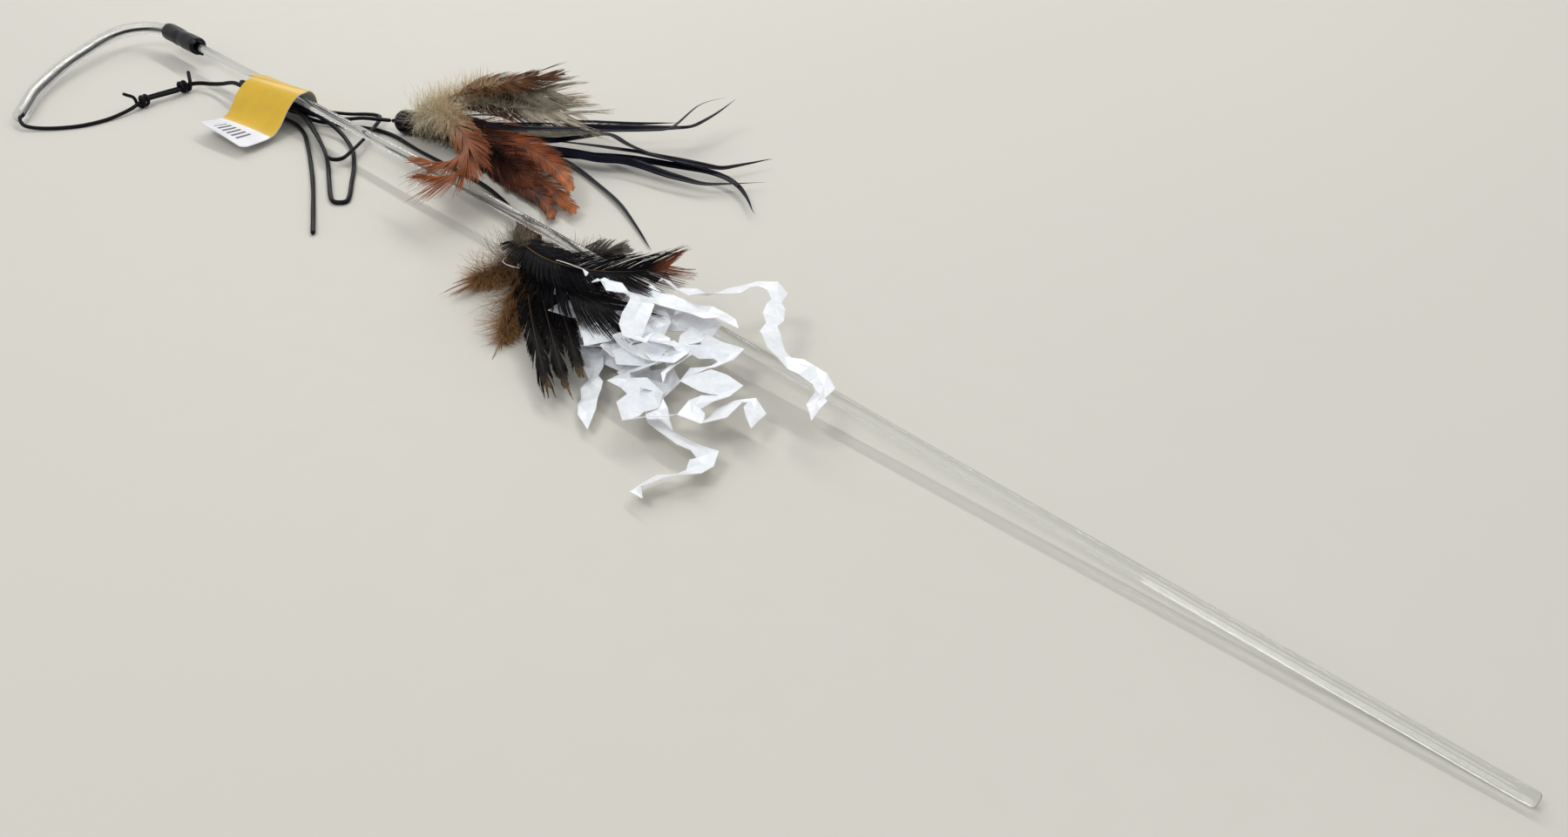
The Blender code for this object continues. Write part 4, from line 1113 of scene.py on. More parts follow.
    def rope(self, name: str, path: Array, width: float, thickness: float, finish: Braid, twist: float = 0.0,
             seed: int = 0) -> Piece:
        """A cord along a path, whose section may be oval and turn slowly.

        Args:
            name: the piece's name.
            path: the path's points.
            width: the section's width.
            thickness: the section's thickness.
            finish: the cord's finish.
            twist: how far the section turns back and forth, in radians.
            seed: which wander the turning has.

        Returns:
            The cord.
        """
        rng = np.random.default_rng(seed)
        along = np.linspace(0.0, 1.0, len(path))
        waves = sum(np.sin(along * rng.uniform(8, 30) + rng.uniform(0, 6)) * rng.uniform(0.3, 1.0) for _ in range(3))
        turn = (waves * twist)[:, None]
        ring = round_section(0.5, 12)
        flat = ring * (width, thickness)
        square = flat * (1.0 + 0.12 * np.abs(np.sin(2.0 * np.arctan2(ring[:, 1], ring[:, 0])))[:, None])
        if twist == 0.0:
            square = flat
        sections = np.stack(
            [
                square[:, 0] * np.cos(turn) - square[:, 1] * np.sin(turn),
                square[:, 0] * np.sin(turn) + square[:, 1] * np.cos(turn),
            ],
            axis=-1,
        )
        sections[[0, -1]] *= 0.72
        piece = swept(name, path, sections)
        dress(piece, FINISH(finish))
        return piece

    def build(self) -> None:
        """Builds every cord and seats it on the wand."""
        left, right, along, side = self.knot_frame()
        lay = self.elastic_diameter / 2 + self.line_width / 2 + self.lay_clearance
        inner = self.inner_elastic()
        piece = self.rope("elastic_inside_tube", inner, self.elastic_diameter, self.elastic_diameter, ELASTIC)
        seat(piece, Body.WAND, "black_elastic", "elastic_in_tube")
        centre = self.tube.centreline()
        out = unit(centre[-1] - centre[-2])
        d = self.elastic_diameter
        far = right + side * lay
        ends = [left - along * d, left + along * d * 1.5, far - along * d * 2.5, far - along * (d / 2 + self.gap)]
        route = np.concatenate([[centre[-1] + out * self.gap], laid_out(self.elastic_route), ends])
        elastic = smooth_route(route, d * 0.6)
        elastic_piece = self.rope("elastic_cord_free", elastic, d, d, ELASTIC)
        seat(elastic_piece, Body.WAND, "black_elastic", "elastic_cord")
        elastic_knot = self.rope(
            "elastic_knot", self.knot(right, along, side, lay, d, self.elastic_tail, -1.0), d, d, ELASTIC
        )
        seat(elastic_knot, Body.WAND, "black_elastic", "knot_elastic_on_line")
        w = self.line_width
        line_knot = self.rope(
            "line_knot", self.knot(left, -along, -side, lay, w, self.line_tail, 1.0), w, self.line_thickness, LACE
        )
        seat(line_knot, Body.WAND, "black_lace", "knot_line_on_elastic")
        near = left - side * lay
        start = near + along * (w / 2 + self.gap)
        passes = [start, near + along * w * 2, right - along * w, right]
        paths = []
        for lead, middle, pivot, ahead in (
            (passes, self.main_route, self.pivot_1, self.ahead_1),
            ([], self.second_route, self.pivot_2, self.ahead_2),
        ):
            tip, heading = laid_out([pivot])[0], np.array(ahead)
            last = [tip - heading * w * 3, tip - heading * self.gap]
            paths.append(smooth_route(np.concatenate([np.array(lead).reshape(-1, 3), laid_out(middle), last]), w * 0.5))
        main = self.rope("main_line_lace", paths[0], w, self.line_thickness, LACE, self.line_twist, 3)
        seat(main, Body.WAND, "black_lace", "main_line")
        second = self.rope("second_line_lace", paths[1], w, self.line_thickness, LACE, self.line_twist, 5)
        seat(second, Body.WAND, "black_lace", "second_line")


# ---- hang tag


@dataclass
class HangTag:
    """The folded yellow tag with a white end panel."""

    thickness: float = 0.45 * MM
    columns: int = 40
    row_step: float = 0.7 * MM
    front_left: Route = (
        (88.5, -8.0, 19.1), (89.0, -13.5, 18.0), (90.5, -20.5, 13.0), (94.5, -28.0, 6.2),
        (97.0, -35.0, 4.6), (102.5, -48.5, 8.0),
    )
    front_right: Route = (
        (125.0, 4.0, 17.6), (126.5, -3.0, 16.8), (129.5, -10.5, 12.6), (135.0, -20.0, 5.8),
        (138.5, -28.0, 3.6), (144.0, -45.0, 4.6),
    )
    back_left: Route = (
        (84.0, -9.0, 19.3), (83.0, -4.2, 18.0), (82.0, 0.4, 16.3), (80.6, 3.8, 14.0),
        (79.0, 7.0, 9.5), (78.0, 8.4, 4.0),
    )
    back_right: Route = (
        (125.0, 4.0, 17.6), (124.6, 6.2, 16.8), (123.6, 8.4, 13.4), (122.0, 9.6, 8.5),
        (121.0, 10.2, 4.0),
    )
    panel_start: float = 0.66
    rules_across: Pair = (0.22, 0.80)
    rules_down: Pair = (0.74, 0.92)
    inks: int = 3
    corner: float = 0.07
    bulge: float = 0.5 * MM

    def flap(self, name: str, left: Route, right: Route, body: Body, node: str) -> Piece:
        """One flap of the card: a curled sheet between its two edges, with rounded outer corners.

        Args:
            name: the piece's name.
            left: the left edge's points, from the crease out.
            right: the right edge's points.
            body: the body that it rides on.
            node: the solid that it replaces.

        Returns:
            The flap.
        """
        first, second = (smooth_route(laid_out(edge), self.row_step) for edge in (left, right))
        rows = max(len(first), len(second))
        first, second = (evenly(line, path_length(line) / rows) for line in (first, second))
        bpy.ops.object.select_all(action="DESELECT")
        bpy.ops.mesh.primitive_grid_add(x_subdivisions=self.columns, y_subdivisions=len(first) - 1, size=2.0)
        piece = settled(bpy.context.object, name)
        dress(piece, FINISH(YELLOW_CARD), FINISH(WHITE_CARD), FINISH(INK), *[FINISH(WHITE_CARD)] * self.inks)
        shares = np.array([(v.co.x * 0.5 + 0.5, v.co.y * 0.5 + 0.5) for v in piece.data.vertices])
        across = shares[:, 0]
        down = shares[:, 1] * (len(first) - 1)
        inset = self.corner * np.clip((shares[:, 1] - (1.0 - self.corner)) / self.corner, 0.0, 1.0) ** 2
        across = across * (1.0 - 2.0 * inset) + inset
        whole = np.minimum(down.astype(int), len(first) - 2)
        part = (down - whole)[:, None]
        edges = [line[whole] * (1.0 - part) + line[whole + 1] * part for line in (first, second)]
        points = edges[0] * (1.0 - across[:, None]) + edges[1] * across[:, None]
        points[:, 2] += self.bulge * np.sin(across * math.pi) * np.clip(shares[:, 1] * 2.0, 0.0, 1.0)
        piece.data.vertices.foreach_set("co", points.astype(np.float32).ravel())
        piece.data.update()
        for face in piece.data.polygons:
            share = shares[list(face.vertices)].mean(axis=0)
            face.material_index = self.inks + self.print_at(*share) if body is Body.TAG_FLAP else 0
        wall = add_wall(piece, "card", self.thickness, offset=0.0)
        wall.material_offset = -self.inks if body is Body.TAG_FLAP else self.inks
        wall.material_offset_rim = 0
        apply_modifiers(piece)
        shade_by_angle(piece, degrees=40.0)
        return seat(piece, body, "yellow_card", node)

    def print_at(self, across: float, down: float) -> int:
        """Which ink lies at a place of the front.

        Args:
            across: share of the flap's width.
            down: share of its length, from the crease.

        Returns:
            0 for yellow, 1 for the white panel, 2 for the plain rules.
        """
        if down > self.panel_start:
            (left, right), (top, bottom) = self.rules_across, self.rules_down
            ruled = left < across < right and top < down < bottom
            return 2 if ruled and int(across * self.columns) % 4 < 2 else 1
        return 0

    def build(self) -> None:
        """Builds both flaps."""
        self.flap("tag_front_flap", self.front_left, self.front_right, Body.TAG_FLAP, "hang_tag_front")
        self.flap("tag_back_flap", self.back_left, self.back_right, Body.WAND, "hang_tag_back")


# ---- feathers


@dataclass(frozen=True)
class Tone:
    """Colours of a feather: at its root, along its vane, at its tip and edges, and of its down."""

    root: Rgb
    vane: Rgb
    tip: Rgb
    edge: Rgb
    fluff: Rgb
    fluff_tip: Rgb
    bars: float = 0.0
    tip_from: float = 0.8
    shaft: Rgb = (0.10, 0.06, 0.03)
    vane_from: float = 0.0


RUST = Tone((0.60, 0.46, 0.28), (0.29, 0.075, 0.018), (0.40, 0.12, 0.03), (0.34, 0.10, 0.03),
            (0.92, 0.80, 0.58), (0.78, 0.56, 0.34), bars=0.25, vane_from=0.2)
ORANGE = Tone((0.06, 0.02, 0.010), (0.32, 0.075, 0.017), (0.50, 0.15, 0.04), (0.46, 0.12, 0.03),
              (0.03, 0.015, 0.010), (0.30, 0.08, 0.022), bars=0.5)
RUST_DARK = Tone((0.02, 0.008, 0.006), (0.15, 0.035, 0.010), (0.34, 0.09, 0.022), (0.28, 0.065, 0.016),
                 (0.02, 0.012, 0.009), (0.09, 0.03, 0.014), bars=0.75)
MAROON = Tone((0.012, 0.006, 0.005), (0.042, 0.009, 0.006), (0.11, 0.028, 0.010), (0.06, 0.014, 0.007),
              (0.008, 0.006, 0.005), (0.03, 0.012, 0.008), bars=0.3)
BROWN = Tone((0.40, 0.24, 0.11), (0.20, 0.085, 0.028), (0.17, 0.06, 0.022), (0.26, 0.11, 0.04),
             (0.92, 0.80, 0.56), (0.62, 0.30, 0.10), bars=1.0)
TAN = Tone((0.40, 0.30, 0.18), (0.33, 0.19, 0.085), (0.42, 0.24, 0.10), (0.50, 0.34, 0.18),
           (0.93, 0.83, 0.62), (0.70, 0.52, 0.30), bars=0.35)
GREY = Tone((0.60, 0.53, 0.40), (0.52, 0.47, 0.37), (0.34, 0.29, 0.21), (0.66, 0.60, 0.48),
            (0.95, 0.87, 0.68), (0.92, 0.84, 0.66), bars=0.3)
GREY_TIPPED = Tone((0.05, 0.02, 0.012), (0.06, 0.018, 0.010), (0.52, 0.46, 0.35), (0.10, 0.04, 0.02),
                   (0.92, 0.84, 0.66), (0.60, 0.50, 0.36), bars=0.5, tip_from=0.62)
GREY_DARK = Tone((0.10, 0.09, 0.07), (0.06, 0.05, 0.04), (0.12, 0.10, 0.08), (0.10, 0.09, 0.07),
                 (0.035, 0.03, 0.025), (0.14, 0.12, 0.09))
WISP = Tone((0.16, 0.10, 0.05), (0.27, 0.12, 0.04), (0.38, 0.18, 0.07), (0.32, 0.16, 0.07),
            (0.13, 0.075, 0.035), (0.52, 0.26, 0.09))
BLACK = Tone((0.006, 0.005, 0.005), (0.003, 0.0025, 0.004), (0.004, 0.0035, 0.004), (0.004, 0.0035, 0.005),
             (0.006, 0.005, 0.005), (0.012, 0.010, 0.009), shaft=(0.05, 0.04, 0.03))
BLACK_TAN_TIP = Tone((0.005, 0.004, 0.005), (0.003, 0.0025, 0.0035), (0.15, 0.10, 0.05), (0.008, 0.006, 0.005),
                     (0.006, 0.005, 0.005), (0.02, 0.016, 0.012), tip_from=0.95, shaft=(0.07, 0.05, 0.035))
BLACK_RUST_TIP = Tone((0.006, 0.004, 0.005), (0.003, 0.0025, 0.004), (0.26, 0.075, 0.028), (0.008, 0.006, 0.007),
                      (0.38, 0.32, 0.23), (0.10, 0.075, 0.05), tip_from=0.93)
NAVY = (0.0045, 0.0045, 0.011)
TO_EYE = np.array((0.733, -0.680, 0.0))


@dataclass
class Feather:
    """A feather made barb by barb: a tapered shaft, vane barbs that lean to the tip, and down at its root."""

    name: str
    path: Array
    width: float
    vane: Vane
    tone: Tone
    seed: int
    rod: Rod
    tilt: float
    lean: float
    split: float
    start_share: float
    fluff_from: float
    fluff_to: float
    fluff_reach: float
    fluff_count: int
    fluff_steps: int = 6
    highest: float = 50.0 * MM
    clump_length: float = 4.0 * MM
    clumps: int = 400
    spacing: float = 0.40 * MM
    barb_width: float = 0.62 * MM
    fibre_width: float = 0.22 * MM
    camber: float = 1.0 * MM
    segments: int = 4

    def frames(self) -> tuple[Array, Array, Array]:
        """Directions along the shaft, with the vane tilted towards the eye's side.

        Returns:
            Directions ahead, left and up, one row a point each.
        """
        ahead, _, up = path_frames(self.path)
        up = up + TO_EYE * self.tilt
        up = unit(up - ahead * (ahead * up).sum(axis=1, keepdims=True))
        return ahead, np.cross(up, ahead), up

    def half_width(self, t: Array) -> Array:
        """Reach of the vane from the shaft.

        Args:
            t: shares of the length.

        Returns:
            The reach at each share.
        """
        u = np.clip((t - self.start_share) / (1.0 - self.start_share), 0.0, 1.0)
        grow = eased(np.clip(u / 0.16, 0.0, 1.0))
        if self.vane is Vane.ROUND:
            body = np.sin(np.pi * (u * 0.5 + 0.14)) * (1.0 - u**7) ** 0.5
        elif self.vane is Vane.POINTED:
            body = np.sin(np.pi * (u * 0.62 + 0.12)) ** 0.8 * (1.0 - u**3)
        elif self.vane is Vane.HACKLE:
            body = (1.0 - u) ** 0.7 + 0.04
        else:
            body = (1.0 - u**2) * 0.9 + 0.1
        return 0.5 * self.width * np.maximum(body * grow, 0.04)

    def roots(self, t: Array) -> list[Array]:
        """Where barbs leave the shaft.

        Args:
            t: shares of the length.

        Returns:
            Places, and directions ahead, left and up, one row a share each.
        """
        stations = np.linspace(0.0, 1.0, len(self.path))
        rows = (self.path, *self.frames())
        read = [np.stack([np.interp(t, stations, row[:, k]) for k in range(3)], axis=1) for row in rows]
        return [read[0], *(unit(row) for row in read[1:])]

    def vane_barbs(self, rng: np.random.Generator) -> tuple[Array, Array]:
        """The vane's barbs.

        Args:
            rng: the feather's random numbers.

        Returns:
            Centre lines, as (barb, point, 3), and their colours.
        """
        length = path_length(self.path)
        along = np.arange(self.start_share, 0.995, self.spacing / length)
        t = np.repeat(along, 2)
        sign = np.tile([1.0, -1.0], len(along))
        t = np.clip(t + rng.normal(0.0, 0.3, len(t)) * self.spacing / length, 0.0, 0.998)
        base, forward, left, above = self.roots(t)
        clump = np.floor(t * length / self.clump_length + sign * 7.3).astype(int) % self.clumps
        offsets, lifts = rng.normal(0.0, 1.0, self.clumps), rng.normal(0.0, 1.0, self.clumps)
        own = rng.normal(0.0, 1.0, (len(t), 3))
        lean = self.lean * (1.0 - 0.45 * np.clip((t - 0.55) / 0.45, 0.0, 1.0))
        angle = np.clip(np.radians(lean + offsets[clump] * self.split + own[:, 0] * 1.2), 0.09, 1.5)
        reach = self.half_width(t) * (1.0 + 0.05 * own[:, 1] + 0.05 * lifts[clump])
        size = np.minimum(reach / np.sin(angle), self.width * 1.7)
        q = np.linspace(0.0, 1.0, self.segments + 1)
        points = np.zeros((len(t), self.segments + 1, 3))
        points[:, 0] = base
        for k in range(self.segments):
            middle = (q[k] + q[k + 1]) / 2
            turn = angle * (1.12 - 0.45 * middle)
            lifted = lifts[clump] * 0.06 + own[:, 2] * 0.03 - 2.0 * self.camber / self.width
            direction = (
                forward * np.cos(turn)[:, None]
                + left * (sign * np.sin(turn))[:, None]
                + above * (lifted * middle)[:, None]
            )
            points[:, k + 1] = points[:, k] + direction * (size / self.segments)[:, None]
        return points, self.vane_colours(t, q, sign, rng)

    def vane_colours(self, t: Array, q: Array, sign: Array, rng: np.random.Generator) -> Array:
        """Colours of the vane: root, vane, tip and edge tones, bars, and each barb's own shade.

        Args:
            t: shares of the shaft's length where the barbs leave.
            q: shares of a barb's length.
            sign: each barb's side, 1 or -1.
            rng: the feather's random numbers.

        Returns:
            One colour a point of each barb.
        """
        tone = self.tone
        grid = t[:, None] + 0.10 * q[None, :]
        to_vane = np.clip((grid - self.start_share - tone.vane_from) / 0.22, 0.0, 1.0)[..., None]
        to_tip = np.clip((grid - tone.tip_from) / 0.12, 0.0, 1.0)[..., None]
        to_edge = (q[None, :, None] ** 2) * 0.6
        root, vane, tip, edge = (np.array(c) for c in (tone.root, tone.vane, tone.tip, tone.edge))
        colours = root * (1.0 - to_vane) + vane * to_vane
        colours = colours * (1.0 - to_edge) + edge * to_edge
        colours = colours * (1.0 - to_tip) + tip * to_tip
        waves = 0.5 + 0.5 * np.sin(grid * 52.0 + 2.0 * math.sin(self.seed) + sign[:, None] * 0.4)
        colours = colours * (1.0 - tone.bars * 0.85 * (waves**2)[..., None])
        shade = np.exp(rng.normal(0.0, 0.14, len(t)))
        return np.clip(colours * shade[:, None, None], 0.0, 1.0)

    def fluff(self, rng: np.random.Generator) -> tuple[Array, Array]:
        """The down: curled fibres that stand out all round the shaft.

        Args:
            rng: the feather's random numbers.

        Returns:
            Centre lines, as (fibre, point, 3), and their colours.
        """
        count, steps = self.fluff_count, self.fluff_steps
        share = rng.random(count) ** 1.15
        t = self.fluff_from + (self.fluff_to - self.fluff_from) * share
        base, forward, left, above = self.roots(t)
        azimuth = rng.random(count) * math.tau
        angle = np.radians((88.0 - 50.0 * np.minimum(1.0, share * 2.2)) * (0.55 + 0.45 * rng.random(count)))
        out = left * np.cos(azimuth)[:, None] + above * np.sin(azimuth)[:, None]
        direction = forward * np.cos(angle)[:, None] + out * np.sin(angle)[:, None]
        swell = np.sqrt(np.sin(math.pi * np.clip(share * 0.74 + 0.22, 0.0, 1.0)))
        reach = self.fluff_reach * swell * (0.45 + 0.65 * rng.random(count))
        curl = unit(rng.normal(0.0, 1.0, (count, 3)))
        points = np.zeros((count, steps + 1, 3))
        points[:, 0] = base
        for k in range(steps):
            stray = rng.normal(0.0, 0.20, (count, 3))
            direction = unit(direction + curl * 0.24 + stray + forward * 0.06)
            points[:, k + 1] = points[:, k] + direction * (reach / steps)[:, None]
        q = np.linspace(0.0, 1.0, steps + 1)[None, :, None]
        near, far = np.array(self.tone.fluff), np.array(self.tone.fluff_tip)
        mixed = q * np.clip(share * 1.6, 0.25, 1.0)[:, None, None]
        colours = (near * (1.0 - mixed) + far * mixed) * np.exp(rng.normal(0.0, 0.20, count))[:, None, None]
        return points, np.clip(colours, 0.0, 1.0)

    def blades(self, points: Array, colours: Array, width: float) -> tuple[Array, ...]:
        """Thin three-sided blades along barbs.

        Args:
            points: the barbs' centre lines.
            colours: their colours.
            width: a blade's width at its root.

        Returns:
            Points, triangles and colours.
        """
        count, stations = points.shape[:2]
        cleared = self.rod.cleared(points.reshape(-1, 3))
        cleared[:, 2] = np.minimum(cleared[:, 2], self.highest)
        points = cleared.reshape(points.shape)
        ahead = unit(np.gradient(points, axis=1))
        flat = unit(np.cross(ahead, (0.0, 0.0, 1.0)))
        above = np.cross(flat, ahead)
        taper = (1.0 - 0.72 * np.linspace(0.0, 1.0, stations) ** 1.5)[None, :, None]
        half = width / 2 * taper
        thick = width * 0.22 * taper
        ring = np.stack([points - flat * half, points + flat * half, points + above * thick], axis=2)
        base = np.arange(count)[:, None, None] * stations * 3
        faces = ring_faces(stations, 3)[None] + base
        return ring.reshape(-1, 3), faces.reshape(-1, 3), np.repeat(colours, 3, axis=1).reshape(-1, 3)

    def shaft(self) -> tuple[Array, ...]:
        """The shaft: a fine tapered tube along the path.

        Returns:
            Points, triangles and colours.
        """
        stations = len(self.path)
        t = np.linspace(0.0, 1.0, stations)
        _, side, up = path_frames(self.path)
        radius = (0.45 * MM * (1.0 - t) + 0.10 * MM)[:, None, None]
        ring = round_section(1.0, 6)
        rings = self.path[:, None, :] + radius * (ring[:, 0:1] * side[:, None, :] + ring[:, 1:2] * up[:, None, :])
        tint = np.tile(np.array(self.tone.shaft), (stations * 6, 1))
        return rings.reshape(-1, 3), ring_faces(stations, 6), tint

    def build(self) -> Piece:
        """Builds the whole feather as one mesh with its tint.

        Returns:
            The feather.
        """
        rng = np.random.default_rng(self.seed)
        parts = [self.shaft(), self.blades(*self.vane_barbs(rng), self.barb_width)]
        parts.append(self.blades(*self.fluff(rng), self.fibre_width))
        offset, faces = 0, []
        for verts, triangles, _ in parts:
            faces.append(triangles + offset)
            offset += len(verts)
        points = np.concatenate([p[0] for p in parts])
        points[:, 2] = np.maximum(points[:, 2], REST_HEIGHT)
        piece = mesh_piece(self.name, points, np.concatenate(faces))
        tinted(piece, np.concatenate([p[2] for p in parts]))
        return piece


@dataclass
class Streamer:
    """A long glossy blade, cupped and gently twisted, with a fine point."""

    name: str
    path: Array
    width: float
    seed: int
    thickness: float = 0.5 * MM
    cup: float = 0.5 * MM
    outline: tuple[Pair, ...] = (
        (-1.0, 0.0), (-0.5, -0.6), (0.0, -0.8), (0.5, -0.6), (1.0, 0.0), (0.5, 0.35), (0.0, 0.15), (-0.5, 0.35),
    )

    def build(self) -> Piece:
        """Builds the streamer as one closed mesh with its tint.

        Returns:
            The streamer.
        """
        rng = np.random.default_rng(self.seed)
        t = np.linspace(0.0, 1.0, len(self.path))
        body = np.clip(0.30 + t * 1.9, 0.0, 1.0) * (1.0 - np.clip((t - 0.66) / 0.34, 0.0, 1.0) ** 1.7) + 0.03
        body = body * (1.0 + 0.08 * np.sin(t * rng.uniform(14, 26) + rng.uniform(0, 6)))
        half = self.width / 2 * body
        turn = 0.5 * np.sin(t * rng.uniform(3.0, 6.0) + rng.uniform(0, 6))
        sections = np.zeros((len(t), len(self.outline), 2))
        for k, (across, high) in enumerate(self.outline):
            x = half * across
            y = self.thickness / 2 * high * np.minimum(1.0, body * 1.5) + self.cup * (across**2 - 0.5) * body
            sections[:, k, 0] = x * np.cos(turn) - y * np.sin(turn)
            sections[:, k, 1] = x * np.sin(turn) + y * np.cos(turn)
        piece = swept(self.name, self.path, sections)
        for vertex in piece.data.vertices:
            vertex.co.z = max(vertex.co.z, REST_HEIGHT)
        shade = 1.0 + 0.25 * np.sin(np.arange(len(t)) * 0.7)[:, None]
        tinted(piece, np.repeat(np.array(NAVY)[None, :] * shade, len(self.outline), axis=0))
        return piece


@dataclass
class CrinkledStrip:
    """A shiny white strip, folded, twisted and crinkled."""

    name: str
    path: Array
    width: float
    seed: int
    thickness: float = 0.25 * MM
    step: float = 6.0 * MM
    crinkle: float = 0.6 * MM
    bare: float = 40.0 * MM
    bare_width: float = 0.3 * MM
    across: int = 3
    flip_share: float = 0.25
    pinch_share: float = 0.18
    waver: float = 0.35 * MM
    lowest: float = 0.3 * MM

    def build(self) -> Piece:
        """Builds the strip as a closed mesh with hard creases.

        Returns:
            The strip.
        """
        rng = np.random.default_rng(self.seed)
        path = evenly(self.path, self.step)
        count = len(path)
        run = np.arange(count) * path_length(path) / (count - 1)
        grown = eased(np.clip((run - self.bare) / (self.width * 3.5), 0.0, 1.0))
        _, side, up = path_frames(path)
        flips = np.cumsum((rng.random(count) < self.flip_share) * rng.normal(0.0, 1.2, count))
        turn = 0.55 * np.sin(rng.normal(0.0, 0.35, count) + flips) * grown
        pinch = 1.0 - 0.5 * (rng.random(count) < self.pinch_share)
        wide = self.width / 2 * pinch * (0.88 + 0.22 * rng.random(count)) * grown
        wide = np.maximum(wide, self.bare_width / 2)
        wide = wide * np.clip((1.0 - run / run[-1]) * count / 2.4 + 0.05, 0.0, 1.0)
        rows = []
        for k in range(count):
            across = np.linspace(-1.0, 1.0, self.across)
            bumps = rng.normal(0.0, 0.5, self.across) * self.crinkle * min(1.0, wide[k] / self.width * 3.0)
            shift = rng.normal(0.0, self.waver) * grown[k]
            flat = side[k] * math.cos(turn[k]) + up[k] * math.sin(turn[k])
            high = up[k] * math.cos(turn[k]) - side[k] * math.sin(turn[k])
            rows.append(path[k] + flat * (across * wide[k])[:, None] + high * (bumps + shift)[:, None])
        points = np.array(rows)
        points[:, :, 2] = np.maximum(points[:, :, 2], self.lowest)
        low = (np.arange(count - 1)[:, None] * self.across + np.arange(self.across - 1)[None, :]).ravel()
        diagonal = rng.random(len(low)) < 0.5
        a, b, c, d = low, low + 1, low + self.across + 1, low + self.across
        first = np.where(diagonal[:, None], np.stack([a, b, c], 1), np.stack([a, b, d], 1))
        second = np.where(diagonal[:, None], np.stack([a, c, d], 1), np.stack([b, c, d], 1))
        piece = mesh_piece(self.name, points.reshape(-1, 3), np.concatenate([first, second]), smooth=False)
        add_wall(piece, "film", self.thickness, offset=0.0)
        apply_modifiers(piece)
        return piece


# ---- lures


COLUMN_REACH = 0.44
ROW_REACH = 0.72
COLUMN_NARROWING = 0.52
COLUMN_RISE = 0.12 * MM
DRAWN_STEP = 1.0 * MM
EASED_SHARE = 0.25
SMOOTHING = 9


def root_places(count: int, inner: float) -> list[Pair]:
    """Where the roots sit in a cap: rows of three, from the lowest up.

    Args:
        count: how many roots there are.
        inner: radius of the cap's hollow.

    Returns:
        Each root's place, across and up.
    """
    rows = math.ceil(count / 3)
    found = []
    for k in range(count):
        row_share = (k // 3) / max(1, rows - 1) * 2.0 - 1.0
        column = inner * COLUMN_REACH * math.sqrt(1.0 - COLUMN_NARROWING * row_share**2)
        found.append(((k % 3 - 1) * column, inner * ROW_REACH * row_share + (k % 3 - 1) * COLUMN_RISE))
    return found


def fanned_roots(roots: list[Pair], headings: list[float]) -> list[Pair]:
    """Gives the columns of each row of roots out by heading, so that no two quills cross.

    Args:
        roots: the roots' places.
        headings: where each piece heads, in the order of the roots.

    Returns:
        Each piece's place, across and up.
    """
    given = []
    for low in range(0, len(headings), 3):
        members = range(low, min(low + 3, len(headings)))
        columns = sorted(roots[k][0] for k in members) if len(members) > 1 else [0.0]
        order = sorted(members, key=lambda k: headings[k], reverse=True)
        column_of = dict(zip(order, columns))
        given += [(column_of[k], roots[k][1]) for k in members]
    return given


def drawn_towards(rows: Array, wanted: Array, limit: float) -> Array:
    """Moves a path sideways towards another one, by no more than a limit.

    Args:
        rows: the path in the lure's own frame.
        wanted: the path that it's drawn to, as (x, y) rows.
        limit: the furthest that a point moves.

    Returns:
        The moved path, which keeps its root.
    """
    flat = np.concatenate([wanted, np.zeros((len(wanted), 1))], axis=1)
    target = smooth_route(flat, DRAWN_STEP)
    shares = np.linspace(0.0, 1.0, len(rows))
    read = np.stack([np.interp(shares, np.linspace(0.0, 1.0, len(target)), target[:, k]) for k in (0, 1)], axis=1)
    offset = read - rows[:, :2]
    far = np.linalg.norm(offset, axis=1, keepdims=True)
    offset = offset * np.minimum(1.0, limit / np.maximum(far, 1e-9))
    ease = np.clip(shares / EASED_SHARE, 0.0, 1.0)[:, None]
    kernel = np.hanning(SMOOTHING) / np.hanning(SMOOTHING).sum()
    padded = np.pad(offset, ((SMOOTHING // 2, SMOOTHING // 2), (0, 0)), mode="edge")
    smooth = np.stack([np.convolve(padded[:, k], kernel, mode="valid") for k in (0, 1)], axis=1)
    moved = rows.copy()
    moved[:, :2] += smooth * ease * ease * (3.0 - 2.0 * ease)
    return moved


